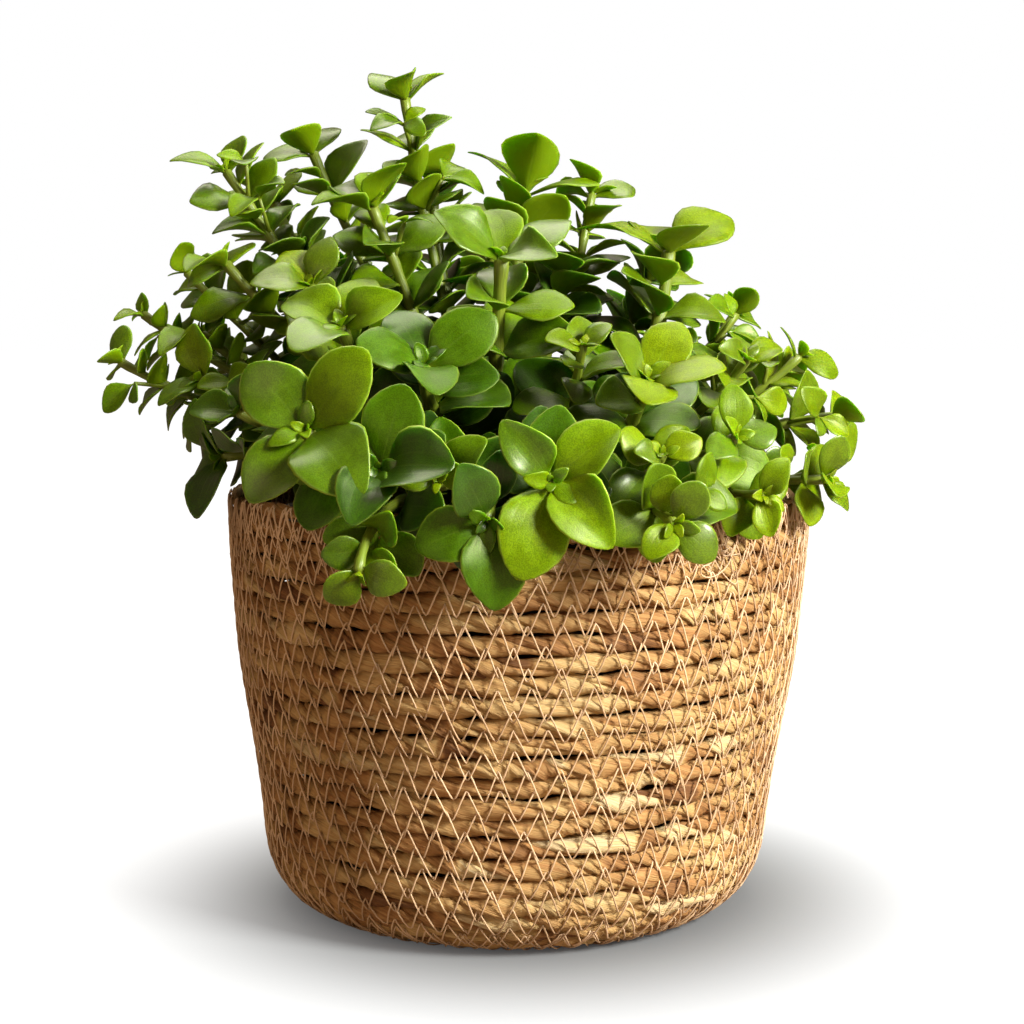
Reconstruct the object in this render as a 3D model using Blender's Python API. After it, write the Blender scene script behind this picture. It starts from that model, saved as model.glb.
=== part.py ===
"""A trailing jade in a thin grow pot, standing in a soft basket of coiled seagrass rope.

Metres, +Z up, the basket's flat base on z = 0 with its centre at the origin. The side seen
in the photograph faces -Y. Every leafy stem is one solid that stands in its own plain hole
in the soil. Leaves are placed by a rule along each stem: a leaf that would touch what is
already there is turned, lifted or shrunk until it is clear, or else left out.
"""

import math
import random
from typing import NamedTuple

import bmesh
import bpy
from mathutils import Vector
from mathutils.bvhtree import BVHTree

MM = 0.001
GAP = 0.3 * MM

# Basket
BASKET_HEIGHT = 108.0 * MM
BASKET_SIDES = 24
BASKET_WALL = 5.4 * MM
BASKET_FLOOR = 5.0 * MM
BASKET_FLAT_RADIUS = 50.0 * MM
BASKET_INNER_FLAT_RADIUS = 52.0 * MM
BASKET_RIM_ROUNDING = 1.6 * MM
BASKET_CORNER_HEIGHT = 20.0 * MM
BASKET_LEAN = 1.4 * MM
BASKET_WALL_HEIGHTS = (20.0 * MM, 38.0 * MM, 65.0 * MM, 92.0 * MM, 108.0 * MM)
BASKET_WALL_RADII = (66.0 * MM, 68.3 * MM, 73.0 * MM, 75.2 * MM, 75.8 * MM)
ROPE_PITCH = 5.0 * MM
ROPE_GROOVE = 0.8 * MM
CORNER_STEPS = 4

# Grow pot
POT_SIDES = 20
POT_WALL = 1.2 * MM
POT_FOOT_RADIUS = 44.0 * MM
POT_RIM_RADIUS = 61.0 * MM
POT_LIP_WIDTH = 3.0 * MM
POT_LIP_HEIGHT = 5.0 * MM
POT_TOP = 102.0 * MM

# Soil
SOIL_TOP = 92.0 * MM
SOIL_MOUND = 2.5 * MM
SOIL_SHOULDER = 0.6
SOIL_FOOT_INSET = 0.5 * MM
HOLE_DEPTH = 11.0 * MM
STEM_SUNK = 10.0 * MM

# Stems
STEM_SIDES = 4
STEM_FOOT_RADIUS = 1.9 * MM
STEM_TIP_RADIUS = 0.9 * MM
STEM_STEP = 20.0 * MM
FEWEST_STEPS = 3
STEM_COLLAR = 1.0 * MM
FIRST_WHORL_BACK = 1.2 * MM
LOWEST_WHORL = 9.0 * MM
SPACING_GROWTH = 1.12
BARK_CLEARANCE = 0.35 * MM
STEM_BEND = 0.42
LEAST_STEM_LIFT = 0.6 * (BASKET_HEIGHT - SOIL_TOP)
STEEPEST_SIDE = 0.9

# Leaves
LEAF_THICKNESS = 1.5 * MM
LARGE_LEAF = 18.5 * MM
FULL_THICKNESS_LEAF = 12.0 * MM
SHORTEST_LEAF = 7.0 * MM
THINNED_LEAF = 14.8 * MM
LEAF_SUNK = 0.6
PETIOLE_START = 0.05
BLADE_START = 0.18
LEAF_WIDTH = 0.76
LEAF_CLEARANCE = 0.3 * MM
LEAF_STATIONS = (0.48, 0.77)
LEAF_MIDDLE = 0.60
LEAF_HALF_WIDTHS = (0.76, 0.90)
LARGE_LEAF_STATIONS = (0.16, 0.45, 0.75)
LARGE_LEAF_HALF_WIDTHS = (0.14, 0.88, 0.94)
LEAF_CUP = 0.24
LEAF_DROOP = 0.25
TIP_SPREAD = 34.0
UPRIGHT_SPREAD = 50.0
LEVEL_SPREAD = 66.0
LENGTH_RANGE = (0.86, 1.08)
SLIM_RANGE = (0.90, 1.08)
TURN_RANGE = (-12.0, 12.0)
SPREAD_RANGE = (-8.0, 8.0)
RIPE_BY_SIZE = 0.6
RIPE_BY_AGE = 0.4
LIGHT = Vector((0.12, -0.65, 0.60))
LIGHT_PULL = 0.9
BACK_PULL = 1.0
SHADE_CENTRE = Vector((0.0, 0.0, 92.0)) * MM
SHADE_RADIUS = 46.0 * MM

# Turn about the stem, change of spread (degrees) and scale of a leaf, tried in this order.
LEAF_TRIES = (
    (0, 0, 1.00),
    (9, -6, 1.00),
    (-9, 6, 1.00),
    (0, -14, 0.95),
    (14, 10, 0.95),
    (-14, -12, 0.92),
    (20, -18, 0.88),
    (-20, 16, 0.88),
    (0, -24, 0.80),
    (12, 18, 0.76),
    (-12, -28, 0.72),
    (0, 8, 0.62),
)

# Shifts of a stem's middle (mm across, along and up), tried in this order.
STEM_TRIES = (
    (0, 0, 0),
    (3, 0, 1),
    (-3, 0, 1),
    (0, 4, 2),
    (5, 3, -2),
    (-5, 3, -2),
    (6, -4, 4),
    (-6, -4, 4),
    (9, 0, 5),
    (-9, 0, 5),
)


class Sprig(NamedTuple):
    """One leafy stem. Lengths are in millimetres and angles in degrees."""

    name: str
    root_angle: float
    root_radius: float
    tip: tuple
    heading: float
    rise: float
    whorls: int
    leaves: int
    spacing: float
    old_leaf: float
    young_leaf: float
    phase: float
    tone: str


# The order is that of placing: the sprigs that show most come first.
SPRIGS = (
    Sprig("centre_peak", -105, 20, (-3, -40, 166), -70, 80, 3, 4, 23, 22, 20, 30, "green"),
    Sprig("front_left", -125, 40, (-47, -72, 127), -105, 30, 2, 4, 17, 20, 22, 35, "green"),
    Sprig("young_front", -62, 42, (33, -77, 122), -75, 38, 4, 4, 9, 19, 11, 15, "young"),
    Sprig("right_peak", -25, 26, (40, -2, 169), 60, 84, 3, 4, 17, 22, 22, 12, "young"),
    Sprig("bright_mid", -68, 30, (16, -52, 146), -80, 55, 3, 4, 10, 18, 10, 40, "young"),
    Sprig("front_right", -48, 36, (31, -59, 138), -70, 50, 2, 4, 15, 20, 19, 80, "young"),
    Sprig("crown_peak", 150, 14, (-29, 18, 210), 165, 82, 5, 3, 14, 19, 15, 150, "green"),
    Sprig("left_peak", 172, 36, (-75, 5, 190), 172, 56, 5, 4, 9, 18, 14, 25, "green"),
    Sprig("crown_left", 158, 24, (-54, 22, 196), 165, 66, 5, 3, 13, 18, 15, 40, "green"),
    Sprig("mid_top", 75, 12, (3, 14, 185), 60, 72, 4, 4, 14, 20, 19, 5, "green"),
    Sprig("crown_mid", 110, 20, (-22, 25, 186), 100, 74, 4, 4, 13, 18, 17, 0, "green"),
    Sprig("mid_right", 52, 28, (21, 20, 185), 60, 66, 5, 3, 11, 18, 13, 10, "young"),
    Sprig("left_mid", -160, 34, (-50, -25, 160), -145, 62, 3, 4, 12, 18, 14, 20, "young"),
    Sprig("left_upper", -170, 18, (-36, -8, 180), -165, 68, 4, 4, 13, 18, 16, 45, "green"),
    Sprig("hanging", -108, 45, (-34, -90, 98), -97, -45, 3, 4, 13, 17, 11, 25, "young"),
    Sprig("front_low_left", -112, 33, (-30, -80, 119), -98, 18, 2, 4, 16, 20, 20, 70, "dark"),
    Sprig("front_low_mid", -82, 38, (8, -84, 117), -84, 8, 2, 4, 16, 21, 20, 45, "green"),
    Sprig("front_rim", -96, 41, (-6, -88, 109), -94, -20, 2, 4, 14, 19, 18, 10, "dark"),
    Sprig("young_low", -100, 28, (-17, -83, 117), -92, 16, 3, 4, 9, 16, 11, 5, "young"),
    Sprig("front_low_right", -55, 46, (35, -86, 108), -72, -10, 3, 4, 11, 18, 14, 50, "young"),
    Sprig("right_front", -40, 45, (51, -62, 125), -50, 26, 3, 4, 13, 18, 14, 30, "green"),
    Sprig("right_front_low", -36, 38, (57, -64, 112), -44, 0, 3, 4, 11, 16, 12, 75, "young"),
    Sprig("right_low", -24, 44, (76, -35, 113), -25, 4, 4, 4, 10, 16, 13, 15, "young"),
    Sprig("right_far", -8, 40, (82, -10, 127), -6, 5, 5, 3, 11, 17, 13, 85, "young"),
    Sprig("right_high", 8, 36, (74, -2, 142), 10, 45, 5, 3, 11, 17, 13, 0, "young"),
    Sprig("right_mid", -30, 32, (57, -31, 142), -48, 48, 3, 4, 12, 18, 13, 20, "young"),
    Sprig("right_back", 22, 34, (60, 20, 153), 35, 46, 4, 3, 12, 18, 14, 50, "green"),
    Sprig("left_round", -165, 43, (-78, -22, 137), -160, 36, 3, 4, 12, 17, 14, 45, "green"),
    Sprig("left_trail", 176, 45, (-101, -9, 141), -176, 32, 5, 3, 12, 16, 10, 30, "green"),
    Sprig("left_far", 168, 41, (-97, 3, 153), 178, 38, 5, 3, 12, 17, 10, 10, "green"),
    Sprig("left_spray", 160, 46, (-86, 6, 164), 178, 46, 5, 3, 11, 18, 12, 70, "green"),
    Sprig("left_mass", 178, 30, (-74, -6, 166), 180, 50, 4, 3, 11, 18, 15, 35, "green"),
    Sprig("left_mass_low", -170, 37, (-80, -8, 148), -175, 40, 4, 3, 11, 17, 14, 5, "green"),
    Sprig("left_back", 142, 36, (-66, 34, 183), 150, 60, 4, 3, 14, 18, 16, 20, "green"),
    Sprig("left_low", -158, 47, (-73, -22, 118), -165, -10, 2, 3, 13, 17, 19, 80, "dark"),
    Sprig("left_lower", -142, 38, (-66, -42, 130), -142, 30, 3, 4, 13, 17, 16, 5, "dark"),
    Sprig("mid_lower", -102, 12, (-21, -55, 141), -100, 58, 3, 4, 14, 20, 19, 20, "dark"),
    Sprig("mid_left", -135, 28, (-41, -45, 150), -120, 58, 3, 4, 14, 19, 17, 60, "green"),
    Sprig("inner_left", -178, 8, (-55, -4, 168), 180, 60, 4, 3, 15, 19, 17, 10, "dark"),
    Sprig("inner_mid", 0, 6, (12, -6, 164), -30, 78, 3, 4, 15, 20, 17, 70, "dark"),
    Sprig("inner_right", 32, 20, (36, 24, 162), 50, 66, 3, 4, 14, 19, 15, 35, "dark"),
    Sprig("back_left", 128, 30, (-48, 56, 166), 130, 50, 3, 4, 15, 19, 15, 25, "green"),
    Sprig("back_mid", 92, 32, (-6, 62, 168), 95, 60, 3, 4, 15, 19, 15, 60, "green"),
    Sprig("back_right", 60, 38, (38, 58, 154), 55, 50, 3, 4, 15, 19, 14, 15, "green"),
    Sprig("back_low_left", 148, 45, (-74, 48, 134), 148, 22, 3, 3, 15, 20, 17, 50, "green"),
    Sprig("back_low_right", 38, 45, (72, 44, 134), 32, 25, 3, 4, 14, 20, 16, 30, "green"),
    Sprig("back_hang", 95, 45, (-4, 86, 116), 96, 0, 3, 4, 14, 20, 17, 10, "green"),
    Sprig("back_low", 115, 40, (-34, 74, 138), 116, 25, 3, 4, 14, 20, 17, 35, "green"),
    Sprig("back_side", 65, 44, (40, 72, 128), 62, 15, 3, 4, 14, 20, 17, 55, "green"),
    Sprig("back_inner", 100, 12, (4, 40, 166), 90, 70, 3, 4, 15, 20, 17, 20, "dark"),
)


def clear_scene():
    """Remove everything the new file starts with."""
    for item in list(bpy.data.objects):
        bpy.data.objects.remove(item, do_unlink=True)


def make_material(name, colour, roughness):
    """A plain Principled material, not metallic."""
    material = bpy.data.materials.new(name)
    material.use_nodes = True
    shader = material.node_tree.nodes["Principled BSDF"]
    shader.inputs["Base Color"].default_value = (*colour, 1.0)
    shader.inputs["Roughness"].default_value = roughness
    shader.inputs["Metallic"].default_value = 0.0
    material.diffuse_color = (*colour, 1.0)
    return material


def seagrass_material():
    """Dry, golden brown plant fibre."""
    return make_material("seagrass", (0.46, 0.29, 0.13), 0.75)


def pot_material():
    """Thin black plastic."""
    return make_material("black_plastic", (0.02, 0.02, 0.022), 0.5)


def soil_material():
    """Dark potting soil."""
    return make_material("potting_soil", (0.06, 0.04, 0.025), 0.95)


def leaf_materials():
    """The three greens of the sprigs."""
    return {
        "dark": make_material("leaf_dark", (0.06, 0.16, 0.02), 0.4),
        "green": make_material("leaf_green", (0.13, 0.30, 0.03), 0.38),
        "young": make_material("leaf_young", (0.28, 0.48, 0.05), 0.36),
    }


def add_object(name, mesh_data, material=None):
    """Put a bmesh into the scene as an object."""
    mesh = bpy.data.meshes.new(name)
    mesh_data.to_mesh(mesh)
    mesh_data.free()
    item = bpy.data.objects.new(name, mesh)
    bpy.context.scene.collection.objects.link(item)
    if material is not None:
        mesh.materials.append(material)
    return item


def shade_smooth(item):
    """Smooth shading on every face."""
    item.data.polygons.foreach_set("use_smooth", [True] * len(item.data.polygons))


def lathe(profile, sides, lean=0.0):
    """A closed solid of rings about Z from (radius, height) pairs, shifted along X with height.

    A radius of 0 at either end makes one pole point. The profile runs so that its right-hand
    side, seen looking along it, is outside.
    """
    bm = bmesh.new()
    rings = []
    for radius, height in profile:
        shift = lean * height / BASKET_HEIGHT
        if radius == 0.0:
            rings.append([bm.verts.new((shift, 0.0, height))])
            continue
        ring = []
        for i in range(sides):
            angle = math.tau * i / sides
            x = radius * math.cos(angle) + shift
            y = radius * math.sin(angle)
            ring.append(bm.verts.new((x, y, height)))
        rings.append(ring)
    for lower, upper in zip(rings, rings[1:]):
        for i in range(sides):
            j = (i + 1) % sides
            if len(lower) == 1:
                bm.faces.new((lower[0], upper[j], upper[i]))
            elif len(upper) == 1:
                bm.faces.new((lower[i], lower[j], upper[0]))
            else:
                bm.faces.new((lower[i], lower[j], upper[j], upper[i]))
    bmesh.ops.recalc_face_normals(bm, faces=bm.faces)
    return bm


def wall_radius(height):
    """Outer radius of the basket's wall at a height above its corner."""
    heights = BASKET_WALL_HEIGHTS
    radii = BASKET_WALL_RADII
    for i in range(len(heights) - 1):
        if height <= heights[i + 1]:
            part = (height - heights[i]) / (heights[i + 1] - heights[i])
            return radii[i] + (radii[i + 1] - radii[i]) * part
    return radii[-1]


def outer_rows():
    """(radius, height) of the rounded corner and of the rope rows up to the rim."""
    points = []
    corner_reach = BASKET_WALL_RADII[0] - BASKET_FLAT_RADIUS
    for i in range(CORNER_STEPS):
        angle = 0.5 * math.pi * i / CORNER_STEPS
        radius = BASKET_FLAT_RADIUS + corner_reach * math.sin(angle)
        height = BASKET_CORNER_HEIGHT * (1.0 - math.cos(angle))
        points.append((radius, height))
    wall_height = BASKET_HEIGHT - BASKET_CORNER_HEIGHT
    rows = round(wall_height / ROPE_PITCH)
    for i in range(2 * rows):
        height = BASKET_CORNER_HEIGHT + wall_height * i / (2 * rows)
        inset = ROPE_GROOVE if i % 2 == 0 else 0.0
        points.append((wall_radius(height) - inset, height))
    return points


def make_basket(material):
    """The basket: a cup with a flat base, a rounded corner and rows of rope up its wall."""
    profile = [(0.0, 0.0)]
    profile += outer_rows()
    rim = BASKET_WALL_RADII[-1]
    rounding = BASKET_RIM_ROUNDING
    profile.append((rim - rounding, BASKET_HEIGHT))
    profile.append((rim - BASKET_WALL + rounding, BASKET_HEIGHT))
    profile.append((rim - BASKET_WALL, BASKET_HEIGHT - rounding))
    middle = BASKET_WALL_HEIGHTS[2]
    profile.append((wall_radius(middle) - BASKET_WALL, middle))
    corner = BASKET_CORNER_HEIGHT
    profile.append((wall_radius(corner) - BASKET_WALL, corner))
    profile.append((BASKET_INNER_FLAT_RADIUS, BASKET_FLOOR))
    profile.append((0.0, BASKET_FLOOR))
    basket = add_object("basket", lathe(profile, BASKET_SIDES, BASKET_LEAN), material)
    shade_smooth(basket)
    return basket


def pot_inner_radius(height):
    """Radius of the grow pot's inner wall."""
    foot = BASKET_FLOOR + GAP
    part = (height - foot) / (POT_TOP - foot)
    return POT_FOOT_RADIUS + (POT_RIM_RADIUS - POT_FOOT_RADIUS) * part - POT_WALL


def make_grow_pot(material):
    """The thin pot, with a lip round its mouth, just clear of the basket's floor."""
    foot = BASKET_FLOOR + GAP
    under_lip = POT_TOP - POT_LIP_HEIGHT
    lip_radius = POT_RIM_RADIUS + POT_LIP_WIDTH
    profile = (
        (0.0, foot),
        (POT_FOOT_RADIUS, foot),
        (pot_inner_radius(under_lip) + POT_WALL, under_lip),
        (lip_radius, under_lip),
        (lip_radius, POT_TOP),
        (pot_inner_radius(POT_TOP), POT_TOP),
        (pot_inner_radius(foot + POT_WALL), foot + POT_WALL),
        (0.0, foot + POT_WALL),
    )
    pot = add_object("grow_pot", lathe(profile, POT_SIDES), material)
    shade_smooth(pot)
    return pot


def soil_height(radius):
    """The soil is a little higher in the middle of the pot."""
    return SOIL_TOP + SOIL_MOUND * (1.0 - (radius / POT_RIM_RADIUS) ** 2)


def make_soil(material, roots):
    """The soil plug, with one blind hole for each stem."""
    foot = BASKET_FLOOR + GAP + POT_WALL + GAP
    edge = pot_inner_radius(SOIL_TOP) - GAP
    shoulder = SOIL_SHOULDER * edge
    profile = (
        (0.0, foot),
        (pot_inner_radius(foot) - SOIL_FOOT_INSET, foot),
        (edge, soil_height(edge)),
        (shoulder, soil_height(shoulder)),
        (0.0, soil_height(0.0)),
    )
    soil = add_object("soil", lathe(profile, POT_SIDES), material)
    cutters = bpy.data.collections.new("stem_holes")
    bpy.context.scene.collection.children.link(cutters)
    hole_radius = STEM_FOOT_RADIUS + GAP / math.cos(math.pi / STEM_SIDES)
    for root in roots:
        bm = bmesh.new()
        bmesh.ops.create_cone(
            bm,
            cap_ends=True,
            cap_tris=False,
            segments=STEM_SIDES,
            radius1=hole_radius,
            radius2=hole_radius,
            depth=2.0 * HOLE_DEPTH,
        )
        bmesh.ops.translate(bm, verts=bm.verts, vec=root)
        hole = add_object("hole", bm)
        bpy.context.scene.collection.objects.unlink(hole)
        cutters.objects.link(hole)
    apply_boolean(soil, cutters, "DIFFERENCE")
    return soil


def apply_boolean(item, others, operation):
    """Apply one Boolean with a collection, then remove the collection and its objects."""
    boolean = item.modifiers.new("join", "BOOLEAN")
    boolean.operation = operation
    boolean.operand_type = "COLLECTION"
    boolean.collection = others
    boolean.solver = "MANIFOLD"
    bpy.context.view_layer.update()
    graph = bpy.context.evaluated_depsgraph_get()
    result = bpy.data.meshes.new_from_object(item.evaluated_get(graph))
    item.modifiers.clear()
    old = item.data
    item.data = result
    result.name = item.name
    bpy.data.meshes.remove(old)
    for other in list(others.objects):
        bpy.data.objects.remove(other, do_unlink=True)
    bpy.data.collections.remove(others)


def heading_vector(heading, rise):
    """Unit vector from a direction round Z and an angle above level, in degrees."""
    turn = math.radians(heading)
    lift = math.radians(rise)
    return Vector((math.cos(turn) * math.cos(lift), math.sin(turn) * math.cos(lift), math.sin(lift)))


def root_point(sprig):
    """Where the stem leaves the soil."""
    turn = math.radians(sprig.root_angle)
    radius = sprig.root_radius * MM
    return Vector((radius * math.cos(turn), radius * math.sin(turn), soil_height(radius)))


def stem_curve(sprig, shift):
    """Control points of the stem's free part: straight up from the soil, then to the tip."""
    start = root_point(sprig) + Vector((0.0, 0.0, STEM_COLLAR))
    tip = Vector(sprig.tip) * MM
    reach = (tip - start).length
    forward = heading_vector(sprig.heading, sprig.rise)
    across = Vector((-math.sin(math.radians(sprig.heading)), math.cos(math.radians(sprig.heading)), 0.0))
    outward = Vector((forward.x, forward.y, 0.0))
    move = (across * shift[0] + outward * shift[1] + Vector((0.0, 0.0, shift[2]))) * MM
    lift = max(STEM_BEND * reach, LEAST_STEM_LIFT)
    first = start + Vector((0.0, 0.0, lift)) + move
    second = tip - forward * STEM_BEND * reach + move
    return start, first, second, tip


def curve_point(curve, t):
    """Point of a cubic curve."""
    a, b, c, d = curve
    s = 1.0 - t
    return a * s**3 + b * (3.0 * s * s * t) + c * (3.0 * s * t * t) + d * t**3


def stem_steps(curve):
    """Number of straight pieces in the stem's free part."""
    return max(FEWEST_STEPS, round(curve_length_table(curve)[-1] / STEM_STEP))


def stem_point(curve, t):
    """Point on the stem's axis, which is straight from ring to ring."""
    steps = stem_steps(curve)
    place = t * steps
    ring = min(int(place), steps - 1)
    lower = curve_point(curve, ring / steps)
    upper = curve_point(curve, (ring + 1) / steps)
    return lower.lerp(upper, place - ring)


def curve_direction(curve, t):
    """Unit tangent of a cubic curve."""
    a, b, c, d = curve
    s = 1.0 - t
    return ((b - a) * (s * s) + (c - b) * (2.0 * s * t) + (d - c) * (t * t)).normalized()


def curve_length_table(curve, steps=40):
    """Running length along a cubic curve."""
    lengths = [0.0]
    before = curve[0]
    for i in range(1, steps + 1):
        here = curve_point(curve, i / steps)
        lengths.append(lengths[-1] + (here - before).length)
        before = here
    return lengths


def parameter_at(lengths, distance):
    """Curve parameter at a length from its start."""
    steps = len(lengths) - 1
    for i in range(steps):
        if distance <= lengths[i + 1]:
            part = (distance - lengths[i]) / (lengths[i + 1] - lengths[i])
            return (i + part) / steps
    return 1.0


def stem_radius(t):
    """Radius of the stem at a parameter of its curve."""
    return STEM_FOOT_RADIUS + (STEM_TIP_RADIUS - STEM_FOOT_RADIUS) * t


def stem_mesh(curve, extra=0.0):
    """The stem as a tapering tube with its straight foot in the soil."""
    bm = bmesh.new()
    foot = curve[0] - Vector((0.0, 0.0, STEM_COLLAR + STEM_SUNK))
    centres = [(foot, Vector((0.0, 0.0, 1.0)), STEM_FOOT_RADIUS)]
    steps = stem_steps(curve)
    for i in range(steps + 1):
        t = i / steps
        centres.append((curve_point(curve, t), curve_direction(curve, t), stem_radius(t)))
    side = Vector((1.0, 0.0, 0.0))
    rings = []
    for centre, along, radius in centres:
        side = (side - along * side.dot(along)).normalized()
        other = along.cross(side)
        ring = []
        for i in range(STEM_SIDES):
            angle = math.tau * i / STEM_SIDES
            offset = side * math.cos(angle) + other * math.sin(angle)
            ring.append(bm.verts.new(centre + offset * (radius + extra)))
        rings.append(ring)
    for lower, upper in zip(rings, rings[1:]):
        for i in range(STEM_SIDES):
            j = (i + 1) % STEM_SIDES
            bm.faces.new((lower[i], lower[j], upper[j], upper[i]))
    bm.faces.new(rings[0][::-1])
    bm.faces.new(rings[-1])
    return bm


class Leaf(NamedTuple):
    """One leaf: where it springs from, its directions and its size in metres."""

    base: Vector
    along: Vector
    up: Vector
    length: float
    width: float
    sunk: float


def leaf_surface(leaf, u, v):
    """Point of the leaf's middle surface: u from base to tip, v across in metres."""
    across = leaf.up.cross(leaf.along)
    x = u * leaf.length
    lift = LEAF_CUP * v * v / (0.5 * leaf.width) - LEAF_DROOP * u * u * leaf.length
    return leaf.base + leaf.along * x + across * v + leaf.up * lift


def leaf_mesh(leaf, clearance=0.0):
    """The leaf as a closed lens: twelve triangles, or twenty on a large one."""
    bm = bmesh.new()
    small = leaf.length < LARGE_LEAF
    stations = LEAF_STATIONS if small else LARGE_LEAF_STATIONS
    widths = LEAF_HALF_WIDTHS if small else LARGE_LEAF_HALF_WIDTHS
    root = bm.verts.new(leaf.base + leaf.along * leaf.sunk)
    tip = bm.verts.new(leaf_surface(leaf, 1.0 + clearance / leaf.length, 0.0))
    left = [root]
    right = [root]
    for u, width in zip(stations, widths):
        half = 0.5 * leaf.width * width + clearance
        left.append(bm.verts.new(leaf_surface(leaf, u, -half)))
        right.append(bm.verts.new(leaf_surface(leaf, u, half)))
    left.append(tip)
    right.append(tip)
    half_thick = (0.5 * LEAF_THICKNESS + clearance) * min(1.0, leaf.length / FULL_THICKNESS_LEAF)
    middles = (LEAF_MIDDLE,) if small else LARGE_LEAF_STATIONS[1:]
    for sign in (1.0, -1.0):
        spine = []
        for u in middles:
            spine.append(bm.verts.new(leaf_surface(leaf, u, 0.0) + leaf.up * half_thick * sign))
        faces = half_faces(left, spine, small) + half_faces(right, spine, small, True)
        for face in faces:
            bm.faces.new(face if sign > 0.0 else face[::-1])
    bmesh.ops.recalc_face_normals(bm, faces=bm.faces)
    return bm


def half_faces(edge, spine, small, mirrored=False):
    """Triangles between one edge of a leaf and the middle of one face."""
    if small:
        faces = [(edge[i], edge[i + 1], spine[0]) for i in range(len(edge) - 1)]
    else:
        root, petiole, belly, shoulder, tip = edge
        near, far = spine
        faces = [
            (root, petiole, near),
            (petiole, belly, near),
            (near, belly, far),
            (belly, shoulder, far),
            (shoulder, tip, far),
        ]
    if mirrored:
        faces = [face[::-1] for face in faces]
    return faces


def tree_of(bm):
    """Collision tree and bounding box of a mesh."""
    tree = BVHTree.FromBMesh(bm)
    low = Vector((min(v.co[i] for v in bm.verts) for i in range(3)))
    high = Vector((max(v.co[i] for v in bm.verts) for i in range(3)))
    return tree, low, high


def meets(first, second):
    """Whether two trees with their boxes cross."""
    for i in range(3):
        if first[1][i] > second[2][i] or second[1][i] > first[2][i]:
            return False
    return bool(first[0].overlap(second[0]))


def whorl_places(sprig, curve):
    """(number from the tip, curve parameter) of each whorl that stands clear of the soil."""
    lengths = curve_length_table(curve)
    distance = FIRST_WHORL_BACK
    step = sprig.spacing * MM
    places = []
    for i in range(sprig.whorls):
        from_start = lengths[-1] - distance
        if from_start < LOWEST_WHORL:
            break
        places.append((i, parameter_at(lengths, from_start)))
        distance += step
        step *= SPACING_GROWTH
    return places


def leaf_candidates(sprig, curve, whorl, t, number):
    """The leaf at one place of one whorl, in each way it may be tried."""
    draw = random.Random(f"{sprig.name}-{whorl}-{number}")
    age = whorl / max(1, sprig.whorls - 1)
    length = (sprig.young_leaf + (sprig.old_leaf - sprig.young_leaf) * age) * MM
    length *= draw.uniform(*LENGTH_RANGE)
    slim = draw.uniform(*SLIM_RANGE)
    turn = sprig.phase + 360.0 * number / sprig.leaves + 180.0 / sprig.leaves * (whorl % 2)
    turn += draw.uniform(*TURN_RANGE)
    old_spread = LEVEL_SPREAD + (UPRIGHT_SPREAD - LEVEL_SPREAD) * abs(sprig.rise) / 90.0
    ripeness = min(1.0, RIPE_BY_SIZE * length / LARGE_LEAF + RIPE_BY_AGE * age)
    spread = TIP_SPREAD + (old_spread - TIP_SPREAD) * ripeness
    spread += draw.uniform(*SPREAD_RANGE)
    axis = curve_direction(curve, t)
    side = Vector((1.0, 0.0, 0.0))
    if abs(axis.x) > STEEPEST_SIDE:
        side = Vector((0.0, 0.0, 1.0))
    side = (side - axis * side.dot(axis)).normalized()
    other = axis.cross(side)
    base = stem_point(curve, t)
    away = Vector((base.x, base.y, 0.0)).normalized()
    for extra_turn, extra_spread, scale in LEAF_TRIES:
        clock = math.radians(turn + extra_turn)
        open_angle = math.radians(spread + extra_spread)
        outward = side * math.cos(clock) + other * math.sin(clock)
        along = (axis * math.cos(open_angle) + outward * math.sin(open_angle)).normalized()
        up = axis - along * axis.dot(along)
        up = up.normalized() + LIGHT.normalized() * LIGHT_PULL + away * BACK_PULL * max(0.0, away.y)
        up = (up - along * up.dot(along)).normalized()
        size = length * scale
        yield Leaf(base, along, up, size, size * LEAF_WIDTH * slim, LEAF_SUNK * stem_radius(t))


def clear_shape(leaf, start):
    """Tree of the leaf a little enlarged, from a part of its length to its tip."""
    bm = leaf_mesh(leaf._replace(sunk=start * leaf.length), LEAF_CLEARANCE)
    tree = tree_of(bm)
    bm.free()
    return tree


def stands_clear(leaf, own, others):
    """Whether a leaf's blade misses its own sprig's leaves and all of it misses the rest."""
    blade = clear_shape(leaf, BLADE_START)
    whole = clear_shape(leaf, PETIOLE_START)
    return not (any(meets(blade, tree) for tree in own) or any(meets(whole, tree) for tree in others))


def place_stems(obstacles):
    """Choose each stem's curve so that no two stems touch. Returns curves and trees by name."""
    curves = {}
    trees = {}
    for sprig in SPRIGS:
        chosen = None
        for shift in STEM_TRIES:
            curve = stem_curve(sprig, shift)
            bm = stem_mesh(curve, BARK_CLEARANCE)
            tree = tree_of(bm)
            bm.free()
            others = obstacles + list(trees.values())
            if not any(meets(tree, other) for other in others):
                chosen = curve
                break
        if chosen is None:
            print("stem left out:", sprig.name)
            continue
        curves[sprig.name] = chosen
        trees[sprig.name] = tree
    return curves, trees


def place_leaves(sprig, curve, solids, stems):
    """Leaves of one sprig that stay clear of everything placed so far."""
    leaves = []
    own = []
    others = solids + [stems[name] for name in stems if name != sprig.name]
    for whorl, t in whorl_places(sprig, curve):
        for number in range(sprig.leaves):
            for leaf in leaf_candidates(sprig, curve, whorl, t, number):
                if leaf.length < THINNED_LEAF and number % 2 == 1:
                    continue
                if leaf.length < SHORTEST_LEAF or (leaf.base - SHADE_CENTRE).length < SHADE_RADIUS:
                    continue
                if stands_clear(leaf, own, others):
                    leaves.append(leaf)
                    own.append(clear_shape(leaf, BLADE_START))
                    break
    solids += [clear_shape(leaf, 0.0) for leaf in leaves]
    return leaves


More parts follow.
